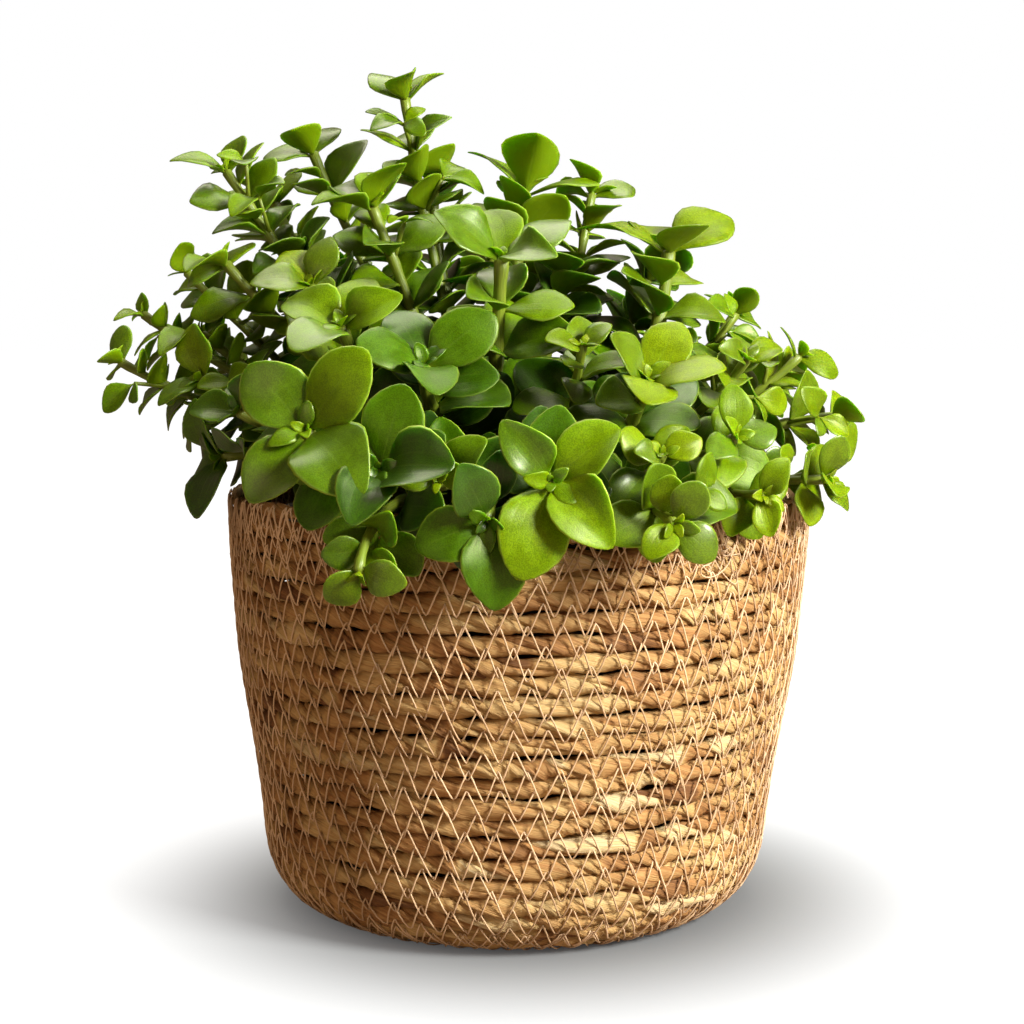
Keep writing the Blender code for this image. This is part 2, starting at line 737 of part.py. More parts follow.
def make_sprig(sprig, curve, leaves, materials):
    """One stem with its leaves, joined into one solid."""
    stem = add_object("stem_" + sprig.name, stem_mesh(curve), materials[sprig.tone])
    blades = bpy.data.collections.new("blades")
    bpy.context.scene.collection.children.link(blades)
    for leaf in leaves:
        blade = add_object("blade", leaf_mesh(leaf))
        bpy.context.scene.collection.objects.unlink(blade)
        blades.objects.link(blade)
    apply_boolean(stem, blades, "UNION")
    shade_smooth(stem)
    return stem


def object_tree(item):
    """Collision tree and box of an object."""
    bm = bmesh.new()
    bm.from_mesh(item.data)
    tree = tree_of(bm)
    bm.free()
    return tree


def main():
    """Build every piece."""
    clear_scene()
    basket = make_basket(seagrass_material())
    pot = make_grow_pot(pot_material())
    fixed = [object_tree(basket), object_tree(pot)]
    curves, stems = place_stems(fixed)
    roots = [root_point(sprig) for sprig in SPRIGS if sprig.name in curves]
    make_soil(soil_material(), roots)
    greens = leaf_materials()
    solids = list(fixed)
    total = 0
    for sprig in SPRIGS:
        if sprig.name not in curves:
            continue
        leaves = place_leaves(sprig, curves[sprig.name], solids, stems)
        make_sprig(sprig, curves[sprig.name], leaves, greens)
        total += len(leaves)
        print(sprig.name, len(leaves), "leaves")
    print(total, "leaves in all")


main()
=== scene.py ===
"""Looks of a trailing jade in its grow pot, standing in a coiled seagrass basket.

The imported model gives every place. Each leafy stem is grown again by the rule that placed the
leaves of its solid, and each leaf is found by its tip on that solid before it is made finely.
The basket is one rope of two strands, coiled from the middle of its base up to its rim, and sewn
with a zigzag thread.
"""

import logging
import math
import random
from collections.abc import Iterable, Iterator, Sequence
from dataclasses import dataclass, field
from enum import Enum
from typing import NamedTuple

import bmesh
import bpy
import numpy as np
from mathutils import Euler, Matrix, Vector, noise
from mathutils.kdtree import KDTree

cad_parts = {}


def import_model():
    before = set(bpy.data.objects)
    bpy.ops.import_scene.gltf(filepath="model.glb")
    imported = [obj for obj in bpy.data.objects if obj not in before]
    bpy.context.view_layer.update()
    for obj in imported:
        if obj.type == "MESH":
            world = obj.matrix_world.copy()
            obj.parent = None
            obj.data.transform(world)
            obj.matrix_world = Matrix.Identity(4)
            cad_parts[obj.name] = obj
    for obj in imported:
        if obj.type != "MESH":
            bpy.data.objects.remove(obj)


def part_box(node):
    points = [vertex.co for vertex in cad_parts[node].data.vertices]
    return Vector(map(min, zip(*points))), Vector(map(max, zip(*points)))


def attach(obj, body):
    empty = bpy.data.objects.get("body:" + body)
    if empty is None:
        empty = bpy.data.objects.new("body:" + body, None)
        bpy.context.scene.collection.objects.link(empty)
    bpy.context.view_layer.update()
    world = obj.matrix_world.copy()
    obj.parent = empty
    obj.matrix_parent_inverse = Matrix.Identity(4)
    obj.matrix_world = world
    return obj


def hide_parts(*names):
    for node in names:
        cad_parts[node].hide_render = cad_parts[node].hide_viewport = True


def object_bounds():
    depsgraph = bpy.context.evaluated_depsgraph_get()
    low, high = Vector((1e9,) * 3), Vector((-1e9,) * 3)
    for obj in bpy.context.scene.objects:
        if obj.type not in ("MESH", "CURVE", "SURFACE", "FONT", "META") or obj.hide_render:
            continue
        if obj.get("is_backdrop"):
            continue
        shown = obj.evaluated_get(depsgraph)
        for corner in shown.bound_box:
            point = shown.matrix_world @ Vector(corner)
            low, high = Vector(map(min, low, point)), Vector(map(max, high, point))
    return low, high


log = logging.getLogger("potted_trailing_jade")

MM = 0.001
BODY = "root"

Colour = tuple[float, float, float]
Place = tuple[float, float, float]
Pair = tuple[float, float]
Socket = bpy.types.NodeSocket
Stop = tuple[float, Colour]
Curve = tuple[Vector, Vector, Vector, Vector]

WHITE: Colour = (1.0, 1.0, 1.0)


# Camera and light

class Softbox(NamedTuple):
    """A square light. Its side is in metres and its power in watts."""

    name: str
    place: Place
    side: float
    power: float
    colour: Colour


SOFTBOXES = (
    Softbox("key_light", (0.73, -0.53, 0.60), 0.32, 29.0, (0.985, 1.0, 0.92)),
    Softbox("top_light", (-0.05, 0.40, 1.10), 0.90, 11.0, (1.0, 0.96, 0.80)),
    Softbox("left_light", (-0.75, -0.90, 0.35), 0.70, 2.0, (1.0, 0.74, 0.50)),
)


@dataclass(frozen=True)
class Studio:
    """The camera at the photograph's viewing angle, a pale floor and soft light."""

    image_width: int = 1024
    focal_pixels: float = 1985.0
    sensor: float = 36.0
    camera_place: Place = (-0.0005, -0.520, 0.156)
    camera_target: Place = (-0.0005, 0.0, 0.1013)
    light_target: Place = (0.0, 0.0, 0.11)
    floor_half: float = 6.0
    floor_colour: Colour = (0.28, 0.21, 0.16)
    # The floor's colour to the camera: dark, so that it shows as painted shadow where the floor does not glow.
    floor_seen_in_painted_shadow: Colour = (0.142, 0.145, 0.155)
    floor_roughness: float = 0.9
    floor_specular: float = 0.1
    # The floor glows to the camera not at all near the centre below and fully past the fade's end, which
    # paints a soft shadow round the basket.
    painted_shadow_fade_start: float = 0.040
    painted_shadow_fade_end: float = 0.132
    painted_glow_full: float = 1.0
    painted_shadow_centre: Place = (0.0045, 0.0, 0.0)
    sky_seen: float = 1.0
    sky_light: float = 0.17
    sky_tint: Colour = (1.0, 0.72, 0.46)

    def build(self) -> None:
        """Make the camera, the floor, the sky and the lights."""
        self.add_camera()
        self.add_floor()
        self.add_sky()
        for softbox in SOFTBOXES:
            self.add_softbox(softbox)

    def hang(self, name: str, data: bpy.types.ID, place: Place, target: Place) -> bpy.types.Object:
        """Put a camera or a light at a place, turned to face a target."""
        item = bpy.data.objects.new(name, data)
        item.location = place
        gaze = Vector(target) - item.location
        item.rotation_euler = gaze.to_track_quat("-Z", "Y").to_euler()
        bpy.context.scene.collection.objects.link(item)
        return item

    def add_camera(self) -> None:
        """Place the camera and make it the scene's own."""
        camera = bpy.data.cameras.new("photo_camera")
        camera.sensor_width = self.sensor
        camera.lens = self.focal_pixels * self.sensor / self.image_width
        item = self.hang("photo_camera", camera, self.camera_place, self.camera_target)
        bpy.context.scene.camera = item

    def add_floor(self) -> None:
        """Lay a pale floor that, to the camera, is dark round the basket and glows white further out: a
        painted shadow round the basket's foot, with no horizon showing.
        """
        bm = bmesh.new()
        bmesh.ops.create_grid(bm, x_segments=1, y_segments=1, size=self.floor_half)
        desk = MaterialDesk("pale_floor")
        values = {0: desk.place(), 1: self.painted_shadow_centre}
        distance = desk.node("ShaderNodeVectorMath", values, operation="DISTANCE").outputs["Value"]
        seen = desk.node("ShaderNodeLightPath").outputs["Is Camera Ray"]
        # Painted shadow: the glow is zero near the basket and rises with distance, so the floor looks shaded
        # round its foot.
        painted_glow = desk.scale(distance, self.painted_shadow_fade_start, self.painted_shadow_fade_end, 0.0, self.painted_glow_full)
        material = desk.finish({
            "Base Color": desk.mix(seen, self.floor_colour, self.floor_seen_in_painted_shadow),
            "Roughness": self.floor_roughness,
            "Specular IOR Level": self.floor_specular,
            "Emission Color": (*WHITE, 1.0),
            "Emission Strength": desk.product(seen, painted_glow),
        })
        object_from("floor", bm, [material])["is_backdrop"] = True

    def add_sky(self) -> None:
        """A white surround that lights less than it shows."""
        world = bpy.data.worlds.new("studio")
        world.use_nodes = True
        desk = NodeDesk(world.node_tree)
        seen = desk.node("ShaderNodeLightPath").outputs["Is Camera Ray"]
        desk.fill(world.node_tree.nodes["Background"], {
            "Strength": desk.scale(seen, 0.0, 1.0, self.sky_light, self.sky_seen),
            "Color": desk.mix(seen, self.sky_tint, WHITE),
        })
        bpy.context.scene.world = world
        bpy.context.scene.view_settings.view_transform = "Standard"

    def add_softbox(self, softbox: Softbox) -> None:
        """Hang one of the lights so that it faces the plant."""
        light = bpy.data.lights.new(softbox.name, "AREA")
        light.energy = softbox.power
        light.color = softbox.colour
        light.size = softbox.side
        self.hang(softbox.name, light, softbox.place, self.light_target)


# Shader nodes

class NodeDesk:
    """Adds nodes to one tree and joins them."""

    def __init__(self, tree: bpy.types.NodeTree) -> None:
        """Work on this tree."""
        self.tree = tree

    def fill(self, target: bpy.types.Node, values: dict) -> None:
        """Set a node's inputs by name or number, each to a value or to a socket that it joins."""
        for key, value in values.items():
            if isinstance(value, Socket):
                self.tree.links.new(value, target.inputs[key])
            else:
                target.inputs[key].default_value = value

    def node(self, kind: str, values: dict | None = None, **settings: object) -> bpy.types.Node:
        """Add a node.

        Args:
            kind: The node's type.
            values: Its inputs, as fill takes them.
            settings: The node's own properties.

        Returns:
            The new node.
        """
        made = self.tree.nodes.new(kind)
        for name, value in settings.items():
            setattr(made, name, value)
        self.fill(made, values or {})
        return made

    def maths(self, operation: str, first: object, second: object = 0.0) -> Socket:
        """The result of a Math node."""
        return self.node("ShaderNodeMath", {0: first, 1: second}, operation=operation).outputs[0]

    def product(self, first: object, second: object) -> Socket:
        """One value times another."""
        return self.maths("MULTIPLY", first, second)

    def swing(self, value: Socket, size: float) -> Socket:
        """A value from 0 to 1 made to swing round zero, by a size in all."""
        return self.product(self.maths("SUBTRACT", value, 0.5), size)

    def scale(self, value: object, low: float, high: float, new_low: float, new_high: float) -> Socket:
        """A value moved softly from one range to another, and kept inside it."""
        values = {"Value": value, "From Min": low, "From Max": high, "To Min": new_low, "To Max": new_high}
        return self.node("ShaderNodeMapRange", values, interpolation_type="SMOOTHSTEP").outputs["Result"]

    def mix(self, factor: object, first: object, second: object) -> Socket:
        """A colour mixed from two others."""
        first = (*first, 1.0) if isinstance(first, tuple) else first
        second = (*second, 1.0) if isinstance(second, tuple) else second
        values = {0: factor, 6: first, 7: second}
        return self.node("ShaderNodeMix", values, data_type="RGBA").outputs[2]

    def noise(self, vector: Socket, scale: object, detail: float) -> Socket:
        """The value of a noise texture."""
        values = {"Vector": vector, "Scale": scale, "Detail": detail, "Roughness": 0.55}
        return self.node("ShaderNodeTexNoise", values).outputs[0]

    def attribute(self, name: str) -> Socket:
        """The number that a mesh carries at each point under a name."""
        return self.node("ShaderNodeAttribute", attribute_name=name).outputs["Fac"]

    def ramp(self, value: Socket, stops: tuple[Stop, ...]) -> Socket:
        """A colour read from a ramp of (place, colour) stops."""
        made = self.node("ShaderNodeValToRGB", {0: value})
        elements = made.color_ramp.elements
        while len(elements) < len(stops):
            elements.new(1.0)
        for element, (place, colour) in zip(elements, stops):
            element.position = place
            element.color = (*colour, 1.0)
        return made.outputs[0]


class MaterialDesk(NodeDesk):
    """A new material with its Principled shader, and a desk for its tree."""

    def __init__(self, name: str) -> None:
        """Make the material."""
        self.material = bpy.data.materials.new(name)
        self.material.use_nodes = True
        super().__init__(self.material.node_tree)
        self.shader = self.tree.nodes["Principled BSDF"]

    def place(self) -> Socket:
        """A point's place on its object."""
        return self.node("ShaderNodeTexCoord").outputs["Object"]

    def own(self) -> Socket:
        """A point's coordinates on its own strand, thread, stem or leaf."""
        return self.node("ShaderNodeUVMap", uv_map="UVMap").outputs[0]

    def group(self, tree: bpy.types.NodeTree, vector: Socket, **numbers: float) -> bpy.types.NodeOutputs:
        """Add a shared effect.

        Args:
            tree: Its node group.
            vector: The coordinates that it works on.
            numbers: Its other inputs.

        Returns:
            The outputs of the group's node.
        """
        return self.node("ShaderNodeGroup", {"Vector": vector, **numbers}, node_tree=tree).outputs

    def bump(self, height: Socket, depth: float, strength: float) -> Socket:
        """The normal of a surface raised by a height from 0 to 1, whose full depth is in metres."""
        values = {"Height": height, "Distance": depth, "Strength": strength}
        return self.node("ShaderNodeBump", values).outputs["Normal"]

    def finish(self, values: dict) -> bpy.types.Material:
        """Set the shader's inputs, as fill takes them, and hand over the material."""
        self.fill(self.shader, values)
        return self.material


class ShaderGroups:
    """The effects that several materials share, each a node group that is made once."""

    def __init__(self) -> None:
        """Make the groups."""
        self.grain = self.make_grain()
        self.mottling = self.make_mottling()
        self.leaf_marks = self.make_leaf_marks()

    def start(
        self, name: str, numbers: list[str], outputs: list[str]
    ) -> tuple[NodeDesk, bpy.types.NodeOutputs, bpy.types.Node]:
        """An empty group that works on coordinates.

        Args:
            name: The group's name.
            numbers: The name of each input besides the coordinates, which is a number.
            outputs: The name of each output, which is a number.

        Returns:
            A desk for the group's tree, what its input node gives, and its output node.
        """
        tree = bpy.data.node_groups.new(name, "ShaderNodeTree")
        sockets = [("Vector", "INPUT", "NodeSocketVector")]
        sockets += [(label, "INPUT", "NodeSocketFloat") for label in numbers]
        sockets += [(label, "OUTPUT", "NodeSocketFloat") for label in outputs]
        for label, way, kind in sockets:
            tree.interface.new_socket(name=label, in_out=way, socket_type=kind)
        desk = NodeDesk(tree)
        return desk, desk.node("NodeGroupInput").outputs, desk.node("NodeGroupOutput")

    def make_grain(self) -> bpy.types.NodeTree:
        """Long fibres: lines that run along the first coordinate."""
        desk, given, result = self.start("long_fibres", ["Along", "Across"], ["Lines", "Streaks"])
        stretch = desk.node("ShaderNodeCombineXYZ", {0: given["Along"], 1: given["Across"]}).outputs[0]
        values = {0: given["Vector"], 1: stretch}
        place = desk.node("ShaderNodeVectorMath", values, operation="MULTIPLY").outputs[0]
        desk.fill(result, {
            "Lines": desk.scale(desk.noise(place, 1.0, 4.0), 0.32, 0.68, 0.0, 1.0),
            "Streaks": desk.scale(desk.noise(place, 0.23, 2.0), 0.35, 0.65, 0.0, 1.0),
        })
        return desk.tree

    def make_mottling(self) -> bpy.types.NodeTree:
        """Soft blotches and fine specks in space."""
        desk, given, result = self.start("mottling", ["Scale"], ["Blotches", "Specks"])
        blotches = desk.noise(given["Vector"], given["Scale"], 2.0)
        specks = desk.noise(given["Vector"], desk.product(given["Scale"], 7.0), 3.0)
        desk.fill(result, {
            "Blotches": desk.scale(blotches, 0.35, 0.65, 0.0, 1.0),
            "Specks": desk.scale(specks, 0.35, 0.65, 0.0, 1.0),
        })
        return desk.tree

    def make_leaf_marks(self) -> bpy.types.NodeTree:
        """Veins, rim and stalk of a leaf from its own coordinates: along it, and across it from 0 to 1."""
        desk, given, result = self.start("leaf_marks", [], ["Veins", "Rim", "Stalk"])
        parts = desk.node("ShaderNodeSeparateXYZ", {0: given["Vector"]}).outputs
        along = parts["X"]
        offset = desk.maths("SUBTRACT", parts["Y"], 0.5)
        reach = desk.product(desk.maths("ABSOLUTE", offset), 2.0)
        veins = desk.scale(reach, 0.0, 0.07, 1.0, 0.0)
        for place, strength in ((0.34, 0.55), (0.62, 0.40)):
            distance = desk.maths("ABSOLUTE", desk.maths("SUBTRACT", reach, place))
            veins = desk.maths("MAXIMUM", veins, desk.scale(distance, 0.0, 0.055, strength, 0.0))
        desk.fill(result, {
            "Veins": desk.product(veins, desk.scale(along, 0.55, 0.98, 1.0, 0.0)),
            "Rim": desk.scale(reach, 0.86, 1.0, 0.0, 1.0),
            "Stalk": desk.scale(along, 0.03, 0.24, 1.0, 0.0),
        })
        return desk.tree


# Finishes. A pair of numbers is what a texture's least and greatest value give.

@dataclass(frozen=True)
class SeagrassFinish:
    """Dried seagrass: straw to reddish brown, with fine fibres along each strand."""

    stops: tuple[Stop, ...] = (
        (0.0, (0.15, 0.058, 0.018)),
        (0.3, (0.40, 0.190, 0.064)),
        (0.62, (0.55, 0.334, 0.130)),
        (0.88, (0.64, 0.446, 0.205)),
        (1.0, (0.67, 0.50, 0.28)),
    )
    fibre: Colour = (0.16, 0.08, 0.03)
    fibre_share: float = 0.34
    fibre_scale: Pair = (160.0, 3600.0)
    blotch_scale: float = 45.0
    blotch_swing: float = 0.18
    streak_swing: float = 0.22
    roughness: Pair = (0.8, 0.5)
    specular: float = 0.28
    fibre_depth: float = 0.16 * MM
    fibre_bump: float = 0.8

    def material(self, groups: ShaderGroups) -> bpy.types.Material:
        """The material for the rope's strands."""
        desk = MaterialDesk("seagrass_rope")
        along, across = self.fibre_scale
        grain = desk.group(groups.grain, desk.own(), Along=along, Across=across)
        spots = desk.group(groups.mottling, desk.place(), Scale=self.blotch_scale)
        drift = desk.swing(spots["Blotches"], self.blotch_swing)
        streak = desk.swing(grain["Streaks"], self.streak_swing)
        tone = desk.maths("ADD", desk.attribute("tone"), desk.maths("ADD", drift, streak))
        lines = desk.scale(grain["Lines"], 0.0, 0.55, self.fibre_share, 0.0)
        return desk.finish({
            "Base Color": desk.mix(lines, desk.ramp(tone, self.stops), self.fibre),
            "Roughness": desk.scale(grain["Lines"], 0.0, 1.0, *self.roughness),
            "Specular IOR Level": self.specular,
            "Normal": desk.bump(grain["Lines"], self.fibre_depth, self.fibre_bump),
        })


@dataclass(frozen=True)
class ThreadFinish:
    """Thin beige sewing thread with a twist."""

    light: Colour = (0.70, 0.48, 0.30)
    dark: Colour = (0.46, 0.29, 0.165)
    blotch_scale: float = 60.0
    twist_scale: float = 700.0
    roughness: Pair = (0.42, 0.62)
    twist_depth: float = 0.05 * MM
    twist_bump: float = 0.6

    def material(self, groups: ShaderGroups) -> bpy.types.Material:
        """The material for all sewing thread."""
        desk = MaterialDesk("sewing_thread")
        spots = desk.group(groups.mottling, desk.place(), Scale=self.blotch_scale)
        values = {"Vector": desk.own(), "Scale": self.twist_scale}
        twist = desk.node("ShaderNodeTexWave", values, bands_direction="DIAGONAL").outputs[1]
        return desk.finish({
            "Base Color": desk.mix(spots["Blotches"], self.light, self.dark),
            "Roughness": desk.scale(spots["Specks"], 0.0, 1.0, *self.roughness),
            "Normal": desk.bump(twist, self.twist_depth, self.twist_bump),
        })


@dataclass(frozen=True)
class PotFinish:
    """Thin black plastic with a little dust."""

    plastic: Colour = (0.012, 0.011, 0.014)
    dust: Colour = (0.07, 0.06, 0.05)
    dust_share: float = 0.6
    dust_scale: float = 55.0
    roughness: Pair = (0.34, 0.7)
    speck_depth: float = 0.05 * MM
    speck_bump: float = 0.3

    def material(self, groups: ShaderGroups) -> bpy.types.Material:
        """The material for the grow pot."""
        desk = MaterialDesk("black_plastic")
        spots = desk.group(groups.mottling, desk.place(), Scale=self.dust_scale)
        dusty = desk.product(spots["Blotches"], spots["Specks"])
        amount = desk.scale(dusty, 0.3, 1.0, 0.0, self.dust_share)
        return desk.finish({
            "Base Color": desk.mix(amount, self.plastic, self.dust),
            "Roughness": desk.scale(dusty, 0.0, 1.0, *self.roughness),
            "Normal": desk.bump(spots["Specks"], self.speck_depth, self.speck_bump),
        })


@dataclass(frozen=True)
class SoilFinish:
    """Damp potting soil: dark crumbs with some lighter fibre."""

    wet: Colour = (0.012, 0.008, 0.005)
    dry: Colour = (0.085, 0.052, 0.030)
    fleck: Colour = (0.24, 0.17, 0.10)
    fleck_share: float = 0.8
    crumb_scale: float = 160.0
    roughness: Pair = (0.75, 1.0)
    crumb_depth: float = 0.6 * MM
    crumb_bump: float = 1.0

    def material(self, groups: ShaderGroups) -> bpy.types.Material:
        """The material for the soil and its crumbs."""
        desk = MaterialDesk("potting_soil")
        spots = desk.group(groups.mottling, desk.place(), Scale=self.crumb_scale)
        colour = desk.mix(spots["Blotches"], self.wet, self.dry)
        flecks = desk.scale(spots["Specks"], 0.86, 1.0, 0.0, self.fleck_share)
        return desk.finish({
            "Base Color": desk.mix(flecks, colour, self.fleck),
            "Roughness": desk.scale(spots["Blotches"], 0.0, 1.0, *self.roughness),
            "Normal": desk.bump(spots["Specks"], self.crumb_depth, self.crumb_bump),
        })


@dataclass(frozen=True)
class LeafFinish:
    """Fleshy, glossy leaf tissue in one of the bush's greens."""

    name: str
    old: Colour
    young: Colour
    # The underside's colour: a paler green, lightened further as painted light shining through the leaf.
    under: Colour
    rim: Colour = (0.16, 0.23, 0.035)
    stalk: Colour = (0.15, 0.19, 0.01)
    underside_and_backlight_share: float = 0.75
    vein_share: float = 0.10
    rim_share: float = 0.42
    stalk_share: float = 0.70
    blotch_scale: float = 180.0
    grain_scale: float = 480.0
    tone_shade: Pair = (0.72, 1.22)
    blotch_shade: Pair = (0.86, 1.10)
    grain_shade: Pair = (0.79, 1.19)
    tone_hue: Pair = (0.508, 0.492)
    roughness: Pair = (0.31, 0.43)
    under_roughness: float = 0.2
    coated_tones: Pair = (0.30, 0.45)
    coat: float = 0.55
    coat_roughness: float = 0.27
    flesh: float = 0.58
    flesh_radius: Colour = (0.6, 1.0, 0.12)
    flesh_depth: float = 2.4 * MM
    specular: float = 0.30
    specular_tint: Colour = (0.94, 1.0, 0.55)
    vein_depth: float = 2.0
    grain_depth: float = 0.02 * MM
    grain_bump: float = 0.6

    def material(self, groups: ShaderGroups) -> bpy.types.Material:
        """The material for the leaves of one tone."""
        desk = MaterialDesk(self.name)
        place = desk.place()
        marks = desk.group(groups.leaf_marks, desk.own())
        blotches = desk.group(groups.mottling, place, Scale=self.blotch_scale)["Blotches"]
        specks = desk.group(groups.mottling, place, Scale=self.grain_scale)["Specks"]
        tone = desk.attribute("tone")
        shade = desk.scale(tone, 0.0, 1.0, *self.tone_shade)
        shade = desk.product(shade, desk.scale(blotches, 0.0, 1.0, *self.blotch_shade))
        shade = desk.product(shade, desk.scale(specks, 0.0, 1.0, *self.grain_shade))
        # The youth attribute carries painted light as well: leaves high up and towards the lit side come out
        # lighter.
        shift = {"Value": shade, "Color": desk.mix(desk.attribute("youth"), self.old, self.young)}
        shift["Hue"] = desk.scale(tone, 0.0, 1.0, *self.tone_hue)
        colour = desk.node("ShaderNodeHueSaturation", shift).outputs[0]
        # The underside takes its own colour, lighter than the upper side's as painted light shining through
        # the leaf.
        upper = desk.attribute("upper")
        under = desk.product(desk.maths("SUBTRACT", 1.0, upper), self.underside_and_backlight_share)
        colour = desk.mix(under, colour, self.under)
        for mark, share, tint in (
            ("Veins", self.vein_share, self.rim),
            ("Rim", self.rim_share, self.rim),
            ("Stalk", self.stalk_share, self.stalk),
        ):
            colour = desk.mix(desk.product(marks[mark], share), colour, tint)
        rough = desk.scale(blotches, 0.0, 1.0, *self.roughness)
        height = desk.maths("SUBTRACT", specks, desk.product(marks["Veins"], self.vein_depth))
        return desk.finish({
            "Base Color": colour,
            "Roughness": desk.maths("ADD", rough, desk.product(under, self.under_roughness)),
            "Coat Weight": desk.product(desk.scale(tone, *self.coated_tones, self.coat, 0.0), upper),
            "Coat Roughness": self.coat_roughness,
            "Subsurface Weight": self.flesh,
            "Subsurface Radius": self.flesh_radius,
            "Subsurface Scale": self.flesh_depth,
            "Specular IOR Level": self.specular,
            "Specular Tint": (*self.specular_tint, 1.0),
            "Normal": desk.bump(height, self.grain_depth, self.grain_bump),
        })


@dataclass(frozen=True)
class StemFinish:
    """Pale green stem that turns olive with age."""

    fresh: Colour = (0.16, 0.22, 0.012)
    ripe: Colour = (0.17, 0.18, 0.018)
    fibre_scale: Pair = (180.0, 2400.0)
    blotch_scale: float = 110.0
    blotch_age: float = 0.35
    fibre_shade: Pair = (0.8, 1.1)
    roughness: Pair = (0.5, 0.36)
    flesh: float = 0.15
    flesh_radius: Colour = (0.6, 1.0, 0.3)
    flesh_depth: float = 1.5 * MM
    fibre_depth: float = 0.1 * MM
    fibre_bump: float = 0.5

    def material(self, groups: ShaderGroups) -> bpy.types.Material:
        """The material for the stems."""
        desk = MaterialDesk("jade_stem")
        along, across = self.fibre_scale
        grain = desk.group(groups.grain, desk.own(), Along=along, Across=across)
        spots = desk.group(groups.mottling, desk.place(), Scale=self.blotch_scale)
        blotches = desk.product(spots["Blotches"], self.blotch_age)
        age = desk.maths("ADD", desk.attribute("tone"), blotches)
        shade = desk.scale(grain["Lines"], 0.0, 1.0, *self.fibre_shade)
        shift = {"Value": shade, "Color": desk.mix(age, self.fresh, self.ripe)}
        return desk.finish({
            "Base Color": desk.node("ShaderNodeHueSaturation", shift).outputs[0],
            "Roughness": desk.scale(grain["Lines"], 0.0, 1.0, *self.roughness),
            "Subsurface Weight": self.flesh,
            "Subsurface Radius": self.flesh_radius,
            "Subsurface Scale": self.flesh_depth,
            "Normal": desk.bump(grain["Lines"], self.fibre_depth, self.fibre_bump),
        })


# Mesh helpers

def object_from(name: str, bm: bmesh.types.BMesh, materials: list[bpy.types.Material]) -> bpy.types.Object:
    """Put a finished bmesh into the scene, shaded smooth.

    Args:
        name: The object's name.
        bm: The shape, which is freed.
        materials: The materials in the order of the faces' numbers.

    Returns:
        The new object.
    """
    mesh = bpy.data.meshes.new(name)
    bm.to_mesh(mesh)
    bm.free()
    for material in materials:
        mesh.materials.append(material)
    mesh.polygons.foreach_set("use_smooth", [True] * len(mesh.polygons))
    item = bpy.data.objects.new(name, mesh)
    bpy.context.scene.collection.objects.link(item)
    return item


def finish_piece(item: bpy.types.Object, slot: str, *nodes: str) -> None:
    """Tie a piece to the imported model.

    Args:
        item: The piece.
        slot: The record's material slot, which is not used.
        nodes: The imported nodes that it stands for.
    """
    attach(item, BODY)
    if nodes:
        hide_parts(*nodes)
    log.info("%s: %d faces", item.name, len(item.data.polygons))


def blunted(values: np.ndarray, power: float) -> np.ndarray:
    """Values from -1 to 1 pushed away from zero by a power below 1."""
    return np.sign(values) * np.abs(values) ** power


def tube_rings(path: np.ndarray, lift: np.ndarray, radius: np.ndarray, sides: int) -> np.ndarray:
    """Rings of points round a path.

    Args:
        path: The points of the path, one row each.
        lift: A direction at each point that is roughly square to the path.
        radius: The radius at each point.
        sides: How many points make a ring.

    Returns:
        An array of rings, each with its points in order.
    """
    run = np.gradient(path, axis=0)
    run /= np.linalg.norm(run, axis=1, keepdims=True)
    side = np.cross(run, lift)
    side /= np.linalg.norm(side, axis=1, keepdims=True)
    other = np.cross(side, run)
    angle = np.linspace(0.0, math.tau, sides, endpoint=False)
    across = side[:, None, :] * np.cos(angle)[None, :, None]
    up = other[:, None, :] * np.sin(angle)[None, :, None]
    return path[:, None, :] + (across + up) * radius[:, None, None]


def tube_mesh(rings: np.ndarray, length: float, girth: float, tone: np.ndarray) -> bpy.types.Mesh:
    """A closed tube through rings of points, with its own coordinates in metres.

    Args:
        rings: The rings, as tube_rings gives them.
        length: The tube's length, for the coordinate along it.
        girth: The way round it, for the coordinate across it.
        tone: A number for each ring, kept at its points as the attribute tone.

    Returns:
        The mesh.
    """
    stations, sides = rings.shape[:2]
    bm = bmesh.new()
    bm.loops.layers.uv.new("UVMap")
    bmesh.ops.create_grid(bm, x_segments=stations - 1, y_segments=sides, size=1.0, calc_uvs=True)
    mesh = bpy.data.meshes.new("tube")
    bm.to_mesh(mesh)
    bm.free()
    flat = np.empty(len(mesh.vertices) * 3, np.float32)
    mesh.vertices.foreach_get("co", flat)
    place = 0.5 * (flat.reshape(-1, 3) + 1.0)
    station = np.rint(place[:, 0] * (stations - 1)).astype(int)
    corner = np.rint(place[:, 1] * sides).astype(int) % sides
    mesh.vertices.foreach_set("co", rings[station, corner].astype(np.float32).ravel())
    marks = mesh.attributes.new("tone", "FLOAT", "POINT")
    marks.data.foreach_set("value", tone[station].astype(np.float32))
    own = np.empty(len(mesh.loops) * 2, np.float32)
    mesh.uv_layers["UVMap"].data.foreach_get("uv", own)
    own = own.reshape(-1, 2) * np.array((length, girth), np.float32)
    mesh.uv_layers["UVMap"].data.foreach_set("uv", own.ravel())
    return mesh


def closed_tubes(meshes: list[bpy.types.Mesh]) -> bmesh.types.BMesh:
    """Join tubes into one bmesh, with their seams sewn and their ends closed."""
    bm = bmesh.new()
    for mesh in meshes:
        bm.from_mesh(mesh)
        bpy.data.meshes.remove(mesh)
    seam = [vert for vert in bm.verts if vert.is_boundary]
    bmesh.ops.remove_doubles(bm, verts=seam, dist=0.001 * MM)
    open_edges = [edge for edge in bm.edges if edge.is_boundary]
    bmesh.ops.holes_fill(bm, edges=open_edges, sides=0)
    bmesh.ops.recalc_face_normals(bm, faces=bm.faces)
    return bm


